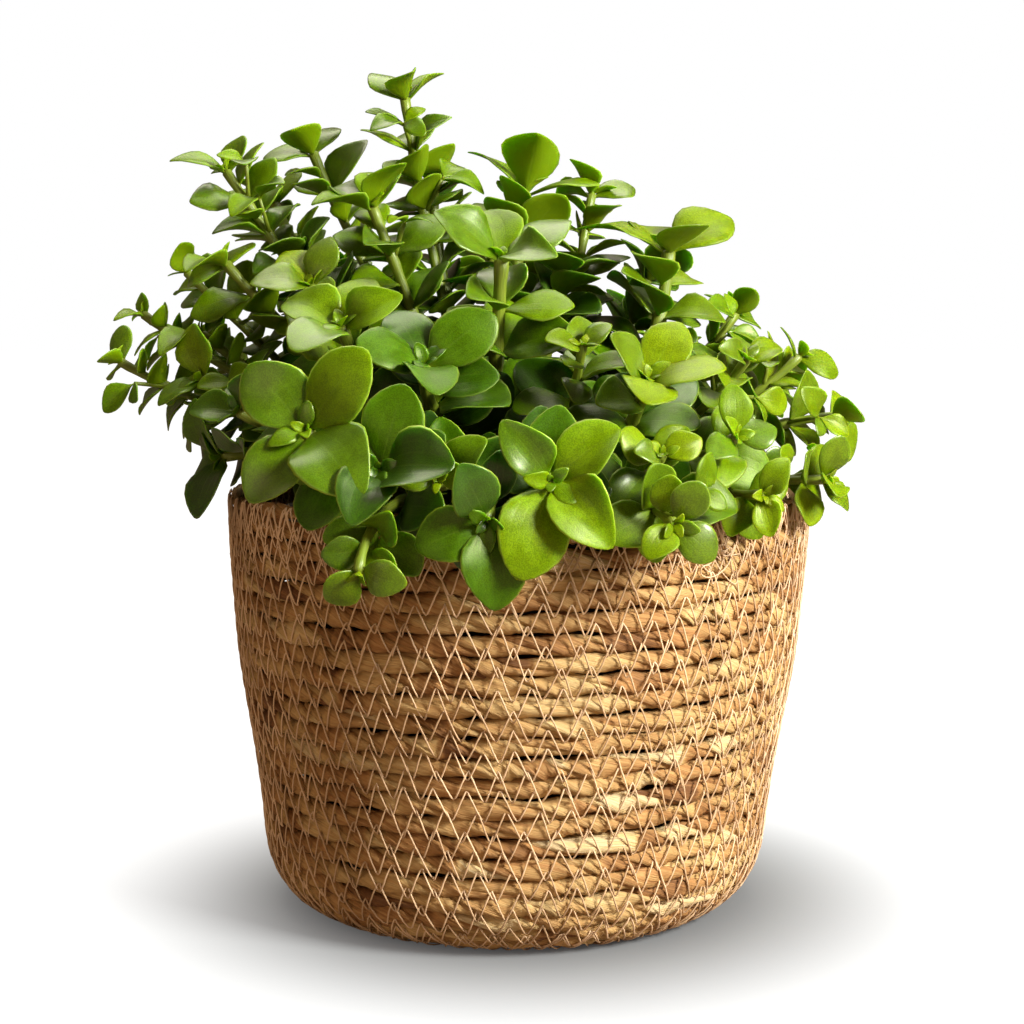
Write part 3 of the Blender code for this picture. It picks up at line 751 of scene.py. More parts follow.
def spun_profile(profile: list[Pair], steps: int) -> bmesh.types.BMesh:
    """A closed turned shape from (radius, height) pairs.

    Args:
        profile: The outline from one point on the axis to the other.
        steps: How many steps make the full turn.

    Returns:
        The shape.
    """
    bm = bmesh.new()
    points = [bm.verts.new((radius, 0.0, height)) for radius, height in profile]
    edges = [bm.edges.new(pair) for pair in zip(points, points[1:])]
    bmesh.ops.spin(
        bm, geom=points + edges, cent=(0, 0, 0), axis=(0, 0, 1), dvec=(0, 0, 0),
        angle=math.tau, steps=steps, use_merge=True, use_duplicate=False,
    )
    bmesh.ops.remove_doubles(bm, verts=bm.verts, dist=0.001 * MM)
    bmesh.ops.recalc_face_normals(bm, faces=bm.faces)
    return bm


# Basket

@dataclass(frozen=True)
class BasketForm:
    """Outer form of the basket, as its solid has it, with smooth curves in place of its steps."""

    height: float = 108.0 * MM
    flat_radius: float = 50.0 * MM
    corner_height: float = 20.0 * MM
    lean: float = 1.4 * MM
    wall_heights: tuple[float, ...] = (20.0 * MM, 38.0 * MM, 65.0 * MM, 92.0 * MM, 108.0 * MM)
    wall_radii: tuple[float, ...] = (66.0 * MM, 68.3 * MM, 73.0 * MM, 75.2 * MM, 75.8 * MM)
    corner_steps: int = 24
    wall_steps: int = 40
    soft_steps: int = 3

    def outline(self) -> np.ndarray:
        """(radius, height) points from the middle of the base to the rim."""
        points = [(0.0, 0.0), (0.5 * self.flat_radius, 0.0)]
        reach = self.wall_radii[0] - self.flat_radius
        for step in range(self.corner_steps):
            angle = 0.5 * math.pi * step / self.corner_steps
            radius = self.flat_radius + reach * math.sin(angle)
            points.append((radius, self.corner_height * (1.0 - math.cos(angle))))
        heights = np.linspace(self.corner_height, self.height, self.wall_steps)
        radii = np.interp(heights, self.wall_heights, self.wall_radii)
        window = 2 * self.soft_steps + 1
        padded = np.pad(radii, self.soft_steps, mode="edge")
        soft = np.convolve(padded, np.ones(window) / window, mode="valid")
        points += list(zip(soft, heights))
        return np.array(points)


class BasketSkin:
    """Places on and under the basket's outer surface, by the way up its outline and the turn round it."""

    def __init__(self, form: BasketForm) -> None:
        """Measure the outline."""
        self.form = form
        self.points = form.outline()
        steps = np.linalg.norm(np.diff(self.points, axis=0), axis=1)
        self.ways = np.concatenate([[0.0], np.cumsum(steps)])
        run = np.gradient(self.points, axis=0)
        self.runs = run / np.linalg.norm(run, axis=1, keepdims=True)
        self.length = float(self.ways[-1])

    def radius(self, way: np.ndarray) -> np.ndarray:
        """The radius at a way along the outline."""
        return np.interp(way, self.ways, self.points[:, 0])

    def directions(self, way: np.ndarray, turn: np.ndarray) -> tuple[np.ndarray, np.ndarray]:
        """The outward and the upward direction on the surface.

        Args:
            way: The way along the outline of each point.
            turn: The angle round the basket of each point.

        Returns:
            Two arrays of unit vectors.
        """
        rise_r = np.interp(way, self.ways, self.runs[:, 0])
        rise_z = np.interp(way, self.ways, self.runs[:, 1])
        size = np.hypot(rise_r, rise_z)
        rise_r, rise_z = rise_r / size, rise_z / size
        radial = np.stack([np.cos(turn), np.sin(turn), np.zeros_like(turn)], axis=1)
        upright = np.array([0.0, 0.0, 1.0])
        outward = radial * rise_z[:, None] - upright * rise_r[:, None]
        upward = radial * rise_r[:, None] + upright * rise_z[:, None]
        return outward, upward

    def place(self, way: np.ndarray, turn: np.ndarray, depth: np.ndarray) -> np.ndarray:
        """Points at a depth under the surface, given as the directions are."""
        radius = self.radius(way)
        height = np.interp(way, self.ways, self.points[:, 1])
        outward, _ = self.directions(way, turn)
        shift = self.form.lean * height / self.form.height
        on_skin = np.stack([radius * np.cos(turn) + shift, radius * np.sin(turn), height], axis=1)
        return on_skin - outward * depth[:, None]


@dataclass
class SeagrassRope:
    """The rope: two flat strands twisted together and wound from the base's middle to the rim."""

    skin: BasketSkin
    row: float = 5.0 * MM
    step: float = 2.0 * MM
    first_way: float = 3.0 * MM
    depth: float = 2.6 * MM
    twist_length: float = 31.0 * MM
    twist_drift: float = 1.3
    strand_offset: float = 0.85 * MM
    half_width: float = 2.95 * MM
    half_thickness: float = 1.38 * MM
    edge_width: float = 0.74
    side_power: float = 0.9
    face_power: float = 0.7
    sides: int = 8
    end_turn: float = math.radians(100.0)
    thinnest: float = 0.22
    base_reach: float = 28.0 * MM
    drift_length: float = 22.0 * MM
    drift_gain: float = 1.8
    drift_depth: float = 0.25 * MM
    drift_rise: float = 0.45 * MM
    width_drift: Pair = (0.94, 0.16)
    thickness_drift: Pair = (0.90, 0.25)
    end_sink: float = 0.5 * MM
    tones: Pair = (0.22, 0.54)
    pale_draw: float = 0.96
    pale_tone: float = 0.98
    brown_draw: float = 0.06
    brown_tone: float = 0.08
    seed: int = 7

    def way(self, turns_left: float) -> float:
        """Way up the outline of the rope's middle, whose last turn thins out under a level rim."""
        half = 0.5 * self.row
        if turns_left >= 1.0:
            return self.skin.length - half - self.row * (turns_left - 1.0)
        return self.skin.length - half * max(self.thinnest, turns_left)

    def stations(self) -> tuple[np.ndarray, np.ndarray, np.ndarray, np.ndarray]:
        """Way up the outline, turn, running length and thickness at each station of the rope."""
        left = 1.0 + (self.skin.length - 0.5 * self.row - self.first_way) / self.row
        ways, turns, lengths, sizes = [], [], [], []
        turn = 0.0
        while left > 0.0:
            way = self.way(left)
            ways.append(way)
            turns.append(turn)
            lengths.append(self.step * len(lengths))
            sizes.append(min(1.0, max(self.thinnest, left)))
            girth = max(0.6 * self.row, float(self.skin.radius(np.array(way))) - self.depth)
            turn += self.step / girth
            left -= self.step / girth / math.tau
        turns = np.array(turns) - turns[-1] + self.end_turn
        return np.array(ways), turns, np.array(lengths), np.array(sizes)

    def wander(self, length: np.ndarray, lane: float) -> np.ndarray:
        """A slow random drift from -1 to 1 along the rope, of its own in each lane."""
        spots = [noise.noise(Vector((value / self.drift_length, lane, 0.5))) for value in length]
        return np.clip(self.drift_gain * np.array(spots), -1.0, 1.0)

    def tone(self, segment: np.ndarray, number: int) -> np.ndarray:
        """The tone of each stretch of a strand that shows between two crossings."""
        draws = [random.Random(f"{self.seed}-{number}-{value}").random() for value in segment]
        draws = np.array(draws)
        low, spread = self.tones
        tone = np.where(draws > self.pale_draw, self.pale_tone, low + spread * draws)
        return np.where(draws < self.brown_draw, self.brown_tone, tone)

    def strand(self, stations: tuple[np.ndarray, ...], number: int) -> tuple[np.ndarray, np.ndarray]:
        """The rings and the tone of one strand.

        Args:
            stations: The rope's stations.
            number: Which of the two strands it is.

        Returns:
            The strand's rings and its tone at each ring.
        """
        way, turn, length, size = stations
        drift = self.twist_drift * self.wander(length, 3.0)
        phase = -math.tau * length / self.twist_length + drift + math.pi * number
        cos, sin = np.cos(phase), np.sin(phase)
        segment = np.floor(phase / math.pi + 0.5 * number).astype(int)
        outward, upward = self.skin.directions(way, turn)
        depth = self.depth - self.drift_depth * self.wander(length, 9.0) - (1.0 - size) * self.end_sink
        centre = self.skin.place(way, turn, depth)
        centre = centre + upward * (self.drift_rise * size * self.wander(length, 14.0))[:, None]
        reach = outward * cos[:, None] + upward * sin[:, None]
        broad = upward * cos[:, None] - outward * sin[:, None]
        usual, drift = self.width_drift
        wide = self.half_width * (usual + drift * self.wander(0.6 * length, 31.0 + number)) * size
        wide = wide * (self.edge_width + (1.0 - self.edge_width) * cos ** 2)
        usual, drift = self.thickness_drift
        thick = self.half_thickness * (usual + drift * self.wander(length, 21.0 + number)) * size
        centre = centre + reach * (self.strand_offset * size)[:, None]
        angle = np.linspace(0.0, math.tau, self.sides, endpoint=False)
        across = blunted(np.cos(angle), self.side_power)
        through = blunted(np.sin(angle), self.face_power)
        rings = centre[:, None, :] + broad[:, None, :] * (wide[:, None] * across[None, :])[:, :, None]
        rings = rings + reach[:, None, :] * (thick[:, None] * through[None, :])[:, :, None]
        rings[:, :, 2] = np.maximum(rings[:, :, 2], 0.02 * MM)
        return rings, self.tone(segment, number)

    def build(self, finish: bpy.types.Material) -> None:
        """Make the rope in stretches, each small enough to stay one piece."""
        stations = self.stations()
        way, _, length, _ = stations
        strands = [self.strand(stations, number) for number in range(2)]
        girth = 4.0 * (self.half_width + self.half_thickness)
        corner = self.skin.form.flat_radius + self.base_reach
        middle = 0.5 * (corner + self.skin.length)
        for name, low, high in (
            ("rope_base", 0.0, corner),
            ("rope_lower_wall", corner, middle),
            ("rope_upper_wall", middle, self.skin.length),
        ):
            chosen = np.nonzero((way >= low) & (way <= high))[0]
            chosen = np.arange(chosen[0], min(chosen[-1] + 2, len(way)))
            size = float(length[chosen[-1]] - length[chosen[0]])
            meshes = [tube_mesh(rings[chosen], size, girth, tone[chosen]) for rings, tone in strands]
            finish_piece(object_from(name, closed_tubes(meshes), [finish]), "seagrass", "basket")


@dataclass(frozen=True)
class ZigzagRun:
    """One line of sewing, which follows the rope's coil over part of the outline."""

    name: str
    first_way: float
    last_way: float
    period: float
    reach: float
    height: float
    radius: float
    start: float
    seed: int


# The thread's bends: the share of a stitch, the height from 1 to -1, and how far it dips in.
BENDS = (
    (0.05, 1.0, 1.0),
    (0.14, 0.84, 0.30),
    (0.40, 0.26, 0.0),
    (0.60, -0.26, 0.0),
    (0.86, -0.84, 0.30),
    (0.95, -1.0, 1.0),
)


@dataclass
class SewingThread:
    """The thread that is sewn or lies on the rows of rope."""

    skin: BasketSkin
    row: float
    finish: bpy.types.Material
    sides: int = 5
    dip: float = 0.55 * MM
    least_girth: float = 6.0 * MM
    stitch_range: Pair = (0.84, 1.16)
    reach_range: Pair = (0.86, 1.08)
    slip: float = 0.3 * MM

    def zigzag(self, run: ZigzagRun) -> tuple[np.ndarray, np.ndarray, np.ndarray]:
        """Way, turn and depth at each point of a line of sewing, with rounded zigzag corners."""
        draw = random.Random(run.seed)
        points: list[tuple[float, float, float]] = []
        turn = run.start
        up = 1.0
        rows = (run.last_way - run.first_way) / self.row
        done = 0.0
        while done < rows + 1.0:
            middle = min(run.last_way, run.first_way + self.row * done)
            girth = max(self.least_girth, float(self.skin.radius(np.array(middle))))
            half = 0.5 * run.period * draw.uniform(*self.stitch_range) / girth
            reach = run.reach * draw.uniform(*self.reach_range)
            slip = self.slip * draw.uniform(-1.0, 1.0)
            for part, rise, sunk in BENDS:
                way = middle + up * rise * reach + slip
                points.append((way, turn + part * half, self.dip * sunk - run.height))
            turn += half
            done += half / math.tau
            up = -up
        way, turns, depth = np.array(points).T
        return np.clip(way, 1.0 * MM, self.skin.length - 0.3 * MM), turns, depth

    def lay(self, name: str, radius: float, way: np.ndarray, turn: np.ndarray, depth: np.ndarray) -> None:
        """Make one length of thread.

        Args:
            name: The piece's name.
            radius: The thread's radius.
            way: The way up the outline of each point.
            turn: The angle round the basket of each point.
            depth: The depth under the surface of each point.
        """
        path = self.skin.place(way, turn, depth)
        outward, _ = self.skin.directions(way, turn)
        rings = tube_rings(path, outward, np.full(len(path), radius), self.sides)
        rings[:, :, 2] = np.maximum(rings[:, :, 2], 0.0)
        length = float(np.linalg.norm(np.diff(path, axis=0), axis=1).sum())
        mesh = tube_mesh(rings, length, math.tau * radius, np.zeros(len(path)))
        finish_piece(object_from(name, closed_tubes([mesh]), [self.finish]), "seagrass")


@dataclass(frozen=True)
class ThreadTangle:
    """The loose loops where one thread ends and the next begins, near the rim at the lit side.

    Each wave of the loops has its share of the reach, its rate and its start.
    """

    turn: float = math.radians(-52.5)
    below_rim: float = 11.5 * MM
    reach: float = 7.0 * MM
    radius: float = 0.16 * MM
    loops: int = 5
    steps: int = 200
    height: float = 0.45 * MM
    crossing: float = 0.2 * MM
    end_fade: float = 0.15
    up_waves: tuple[Place, ...] = ((0.62, 0.53, 0.4), (0.38, 1.37, 2.0))
    side_waves: tuple[Place, ...] = ((0.70, 0.31, 1.1), (0.40, 1.21, 0.5 * math.pi))

    def points(self, skin: BasketSkin) -> tuple[np.ndarray, np.ndarray, np.ndarray]:
        """Way, turn and depth at each point of one thread that curls over itself."""
        clock = np.linspace(0.0, math.tau, self.steps) * self.loops
        fade = np.sin(np.linspace(self.end_fade, math.pi - self.end_fade, self.steps))
        up = sum(size * np.sin(rate * clock + start) for size, rate, start in self.up_waves)
        side = sum(size * np.sin(rate * clock + start) for size, rate, start in self.side_waves)
        way = skin.length - self.below_rim + self.reach * up * fade
        turn = self.turn + self.reach * side / float(skin.radius(np.array(skin.length)))
        return way, turn, -self.height - self.crossing * np.sin(2.3 * clock)


@dataclass
class Basket:
    """The whole basket: the coiled rope and its sewing."""

    form: BasketForm
    base_reach: float = 10.0 * MM

    def runs(self, top: float) -> tuple[ZigzagRun, ...]:
        """The lines of sewing on an outline of this length."""
        corner = self.form.flat_radius + self.base_reach
        return (
            ZigzagRun(
                "thread_base", 6.0 * MM, corner,
                period=7.6 * MM, reach=3.5 * MM, height=0.0, radius=0.20 * MM, start=0.0, seed=11,
            ),
            ZigzagRun(
                "thread_wall", corner, top - 4.4 * MM,
                period=7.3 * MM, reach=3.8 * MM, height=0.08 * MM, radius=0.22 * MM, start=1.0, seed=12,
            ),
            ZigzagRun(
                "thread_rim", top - 14.0 * MM, top - 3.2 * MM,
                period=5.6 * MM, reach=2.7 * MM, height=0.15 * MM, radius=0.18 * MM, start=2.0, seed=13,
            ),
            ZigzagRun(
                "thread_inside", top - 22.0 * MM, top - 4.2 * MM,
                period=7.6 * MM, reach=3.2 * MM, height=-5.5 * MM, radius=0.20 * MM, start=0.5, seed=14,
            ),
        )

    def build(self, groups: ShaderGroups) -> None:
        """Make the rope and every line of thread."""
        skin = BasketSkin(self.form)
        rope = SeagrassRope(skin)
        rope.build(SeagrassFinish().material(groups))
        sewing = SewingThread(skin, rope.row, ThreadFinish().material(groups))
        for run in self.runs(skin.length):
            sewing.lay(run.name, run.radius, *sewing.zigzag(run))
        tangle = ThreadTangle()
        sewing.lay("thread_tangle", tangle.radius, *tangle.points(skin))


# Pot and soil

@dataclass
class GrowPot:
    """The thin black pot with a rolled lip, a little finer than its solid."""

    wall: float = 1.2 * MM
    lip_width: float = 3.0 * MM
    lip_height: float = 5.0 * MM
    foot_radius: float = 44.0 * MM
    rim_radius: float = 61.0 * MM
    edge: float = 0.8 * MM
    sharp: float = math.radians(50.0)
    steps: int = 96

    def build(self, groups: ShaderGroups) -> None:
        """Make the pot where its solid stands."""
        low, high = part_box("grow_pot")
        foot, top = low.z, high.z
        under = top - self.lip_height

        def outer(height: float) -> float:
            """The outer radius of the plain wall at a height."""
            return self.foot_radius + (self.rim_radius - self.foot_radius) * (height - foot) / (top - foot)

        lip = self.rim_radius + self.lip_width
        profile = [
            (0.0, foot),
            (self.foot_radius - self.edge, foot),
            (self.foot_radius, foot + self.edge),
            (outer(under), under),
            (lip - self.edge, under),
            (lip, under + self.edge),
            (lip, top - self.edge),
            (lip - self.edge, top),
            (outer(top) - self.wall + self.edge, top),
            (outer(top) - self.wall, top - self.edge),
            (outer(foot + self.wall) - self.wall, foot + self.wall),
            (0.0, foot + self.wall),
        ]
        pot = object_from("plastic_pot", spun_profile(profile, self.steps), [PotFinish().material(groups)])
        pot.data.set_sharp_from_angle(angle=self.sharp)
        finish_piece(pot, "black_plastic", "grow_pot")


@dataclass
class PottingSoil:
    """The soil's lumpy surface, with loose crumbs on it."""

    top: float = 92.0 * MM
    mound: float = 2.5 * MM
    rim_radius: float = 61.0 * MM
    foot_inset: float = 15.0 * MM
    surface_depth: float = 5.0 * MM
    calm_edge: float = 3.0 * MM
    rings: int = 34
    steps: int = 120
    lump: float = 1.3 * MM
    coarse: float = 7.0 * MM
    fine: float = 2.2 * MM
    fine_share: float = 0.6
    crumbs: int = 420
    crumb_inset: float = 2.0 * MM
    crumb_range: Pair = (0.5, 1.7)
    seed: int = 21

    def height(self, radius: float) -> float:
        """The plain height of the soil, which is a little higher in the middle."""
        return self.top + self.mound * (1.0 - (radius / self.rim_radius) ** 2)

    def bed(self, edge: float, foot: float) -> bmesh.types.BMesh:
        """The plug of soil with its lumps."""
        profile = [(0.0, foot), (edge - self.foot_inset, foot)]
        for ring in range(self.rings + 1):
            radius = edge * (1.0 - ring / self.rings)
            profile.append((radius, self.height(radius)))
        bm = spun_profile(profile, self.steps)
        for vert in bm.verts:
            if vert.co.z < self.top - self.surface_depth:
                continue
            inward = min(1.0, (edge - math.hypot(vert.co.x, vert.co.y)) / self.calm_edge)
            rise = noise.noise(vert.co / self.coarse) + self.fine_share * noise.noise(vert.co / self.fine)
            vert.co.z += inward * self.lump * rise
        return bm

    def add_crumbs(self, bm: bmesh.types.BMesh, edge: float) -> None:
        """Scatter small lumps over the surface."""
        draw = random.Random(self.seed)
        for _ in range(self.crumbs):
            radius = (edge - self.crumb_inset) * math.sqrt(draw.random())
            turn = draw.uniform(0.0, math.tau)
            size = MM * draw.uniform(*self.crumb_range)
            place = Matrix.Translation((radius * math.cos(turn), radius * math.sin(turn), self.height(radius)))
            spin = Euler([draw.uniform(0.0, math.tau) for _ in range(3)]).to_matrix().to_4x4()
            shape = Matrix.Diagonal((size * draw.uniform(0.7, 1.3), size, size * draw.uniform(0.5, 0.9), 1.0))
            bmesh.ops.create_icosphere(bm, subdivisions=1, radius=1.0, matrix=place @ spin @ shape)

    def build(self, groups: ShaderGroups) -> None:
        """Make the soil where its solid lies."""
        low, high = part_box("soil")
        edge = 0.5 * (high.x - low.x)
        bm = self.bed(edge, low.z)
        self.add_crumbs(bm, edge)
        soil = object_from("soil_surface", bm, [SoilFinish().material(groups)])
        finish_piece(soil, "potting_soil", "soil")


# Plant

class Tone(Enum):
    """The record's material slot of each tone of green."""

    DARK = "leaf_dark"
    GREEN = "leaf_green"
    YOUNG = "leaf_young"


class Sprig(NamedTuple):
    """One leafy stem. Lengths are in millimetres and angles in degrees."""

    name: str
    root_angle: float
    root_radius: float
    tip: tuple
    heading: float
    rise: float
    whorls: int
    leaves: int
    spacing: float
    old_leaf: float
    young_leaf: float
    phase: float
    tone: Tone


SPRIGS = (
    Sprig("centre_peak", -105, 20, (-3, -40, 166), -70, 80, 3, 4, 23, 22, 20, 30, Tone.GREEN),
    Sprig("front_left", -125, 40, (-47, -72, 127), -105, 30, 2, 4, 17, 20, 22, 35, Tone.GREEN),
    Sprig("young_front", -62, 42, (33, -77, 122), -75, 38, 4, 4, 9, 19, 11, 15, Tone.YOUNG),
    Sprig("right_peak", -25, 26, (40, -2, 169), 60, 84, 3, 4, 17, 22, 22, 12, Tone.YOUNG),
    Sprig("bright_mid", -68, 30, (16, -52, 146), -80, 55, 3, 4, 10, 18, 10, 40, Tone.YOUNG),
    Sprig("front_right", -48, 36, (31, -59, 138), -70, 50, 2, 4, 15, 20, 19, 80, Tone.YOUNG),
    Sprig("crown_peak", 150, 14, (-29, 18, 210), 165, 82, 5, 3, 14, 19, 15, 150, Tone.GREEN),
    Sprig("left_peak", 172, 36, (-75, 5, 190), 172, 56, 5, 4, 9, 18, 14, 25, Tone.GREEN),
    Sprig("crown_left", 158, 24, (-54, 22, 196), 165, 66, 5, 3, 13, 18, 15, 40, Tone.GREEN),
    Sprig("mid_top", 75, 12, (3, 14, 185), 60, 72, 4, 4, 14, 20, 19, 5, Tone.GREEN),
    Sprig("crown_mid", 110, 20, (-22, 25, 186), 100, 74, 4, 4, 13, 18, 17, 0, Tone.GREEN),
    Sprig("mid_right", 52, 28, (21, 20, 185), 60, 66, 5, 3, 11, 18, 13, 10, Tone.YOUNG),
    Sprig("left_mid", -160, 34, (-50, -25, 160), -145, 62, 3, 4, 12, 18, 14, 20, Tone.YOUNG),
    Sprig("left_upper", -170, 18, (-36, -8, 180), -165, 68, 4, 4, 13, 18, 16, 45, Tone.GREEN),
    Sprig("hanging", -108, 45, (-34, -90, 98), -97, -45, 3, 4, 13, 17, 11, 25, Tone.YOUNG),
    Sprig("front_low_left", -112, 33, (-30, -80, 119), -98, 18, 2, 4, 16, 20, 20, 70, Tone.DARK),
    Sprig("front_low_mid", -82, 38, (8, -84, 117), -84, 8, 2, 4, 16, 21, 20, 45, Tone.GREEN),
    Sprig("front_rim", -96, 41, (-6, -88, 109), -94, -20, 2, 4, 14, 19, 18, 10, Tone.DARK),
    Sprig("young_low", -100, 28, (-17, -83, 117), -92, 16, 3, 4, 9, 16, 11, 5, Tone.YOUNG),
    Sprig("front_low_right", -55, 46, (35, -86, 108), -72, -10, 3, 4, 11, 18, 14, 50, Tone.YOUNG),
    Sprig("right_front", -40, 45, (51, -62, 125), -50, 26, 3, 4, 13, 18, 14, 30, Tone.GREEN),
    Sprig("right_front_low", -36, 38, (57, -64, 112), -44, 0, 3, 4, 11, 16, 12, 75, Tone.YOUNG),
    Sprig("right_low", -24, 44, (76, -35, 113), -25, 4, 4, 4, 10, 16, 13, 15, Tone.YOUNG),
    Sprig("right_far", -8, 40, (82, -10, 127), -6, 5, 5, 3, 11, 17, 13, 85, Tone.YOUNG),
    Sprig("right_high", 8, 36, (74, -2, 142), 10, 45, 5, 3, 11, 17, 13, 0, Tone.YOUNG),
    Sprig("right_mid", -30, 32, (57, -31, 142), -48, 48, 3, 4, 12, 18, 13, 20, Tone.YOUNG),
    Sprig("right_back", 22, 34, (60, 20, 153), 35, 46, 4, 3, 12, 18, 14, 50, Tone.GREEN),
    Sprig("left_round", -165, 43, (-78, -22, 137), -160, 36, 3, 4, 12, 17, 14, 45, Tone.GREEN),
    Sprig("left_trail", 176, 45, (-101, -9, 141), -176, 32, 5, 3, 12, 16, 10, 30, Tone.GREEN),
    Sprig("left_far", 168, 41, (-97, 3, 153), 178, 38, 5, 3, 12, 17, 10, 10, Tone.GREEN),
    Sprig("left_spray", 160, 46, (-86, 6, 164), 178, 46, 5, 3, 11, 18, 12, 70, Tone.GREEN),
    Sprig("left_mass", 178, 30, (-74, -6, 166), 180, 50, 4, 3, 11, 18, 15, 35, Tone.GREEN),
    Sprig("left_mass_low", -170, 37, (-80, -8, 148), -175, 40, 4, 3, 11, 17, 14, 5, Tone.GREEN),
    Sprig("left_back", 142, 36, (-66, 34, 183), 150, 60, 4, 3, 14, 18, 16, 20, Tone.GREEN),
    Sprig("left_low", -158, 47, (-73, -22, 118), -165, -10, 2, 3, 13, 17, 19, 80, Tone.DARK),
    Sprig("left_lower", -142, 38, (-66, -42, 130), -142, 30, 3, 4, 13, 17, 16, 5, Tone.DARK),
    Sprig("mid_lower", -102, 12, (-21, -55, 141), -100, 58, 3, 4, 14, 20, 19, 20, Tone.DARK),
    Sprig("mid_left", -135, 28, (-41, -45, 150), -120, 58, 3, 4, 14, 19, 17, 60, Tone.GREEN),
    Sprig("inner_left", -178, 8, (-55, -4, 168), 180, 60, 4, 3, 15, 19, 17, 10, Tone.DARK),
    Sprig("inner_mid", 0, 6, (12, -6, 164), -30, 78, 3, 4, 15, 20, 17, 70, Tone.DARK),
    Sprig("inner_right", 32, 20, (36, 24, 162), 50, 66, 3, 4, 14, 19, 15, 35, Tone.DARK),
    Sprig("back_left", 128, 30, (-48, 56, 166), 130, 50, 3, 4, 15, 19, 15, 25, Tone.GREEN),
    Sprig("back_mid", 92, 32, (-6, 62, 168), 95, 60, 3, 4, 15, 19, 15, 60, Tone.GREEN),
    Sprig("back_right", 60, 38, (38, 58, 154), 55, 50, 3, 4, 15, 19, 14, 15, Tone.GREEN),
    Sprig("back_low_left", 148, 45, (-74, 48, 134), 148, 22, 3, 3, 15, 20, 17, 50, Tone.GREEN),
    Sprig("back_low_right", 38, 45, (72, 44, 134), 32, 25, 3, 4, 14, 20, 16, 30, Tone.GREEN),
    Sprig("back_hang", 95, 45, (-4, 86, 116), 96, 0, 3, 4, 14, 20, 17, 10, Tone.GREEN),
    Sprig("back_low", 115, 40, (-34, 74, 138), 116, 25, 3, 4, 14, 20, 17, 35, Tone.GREEN),
    Sprig("back_side", 65, 44, (40, 72, 128), 62, 15, 3, 4, 14, 20, 17, 55, Tone.GREEN),
    Sprig("back_inner", 100, 12, (4, 40, 166), 90, 70, 3, 4, 15, 20, 17, 20, Tone.DARK),
)

# Turn about the stem, change of spread (degrees) and scale of a leaf, tried in this order.
LEAF_TRIES = (
    (0, 0, 1.00),
    (9, -6, 1.00),
    (-9, 6, 1.00),
    (0, -14, 0.95),
    (14, 10, 0.95),
    (-14, -12, 0.92),
    (20, -18, 0.88),
    (-20, 16, 0.88),
    (0, -24, 0.80),
    (12, 18, 0.76),
    (-12, -28, 0.72),
    (0, 8, 0.62),
)

# Shifts of a stem's middle (mm across, along and up), tried in this order.
STEM_TRIES = (
    (0, 0, 0),
    (3, 0, 1),
    (-3, 0, 1),
    (0, 4, 2),
    (5, 3, -2),
    (-5, 3, -2),
    (6, -4, 4),
    (-6, -4, 4),
    (9, 0, 5),
    (-9, 0, 5),
)


class Leaf(NamedTuple):
    """One leaf: where it springs from, its directions, its size in metres and its youth from 0 to 1."""

    base: Vector
    along: Vector
    up: Vector
    length: float
    width: float
    youth: float
    tone: float


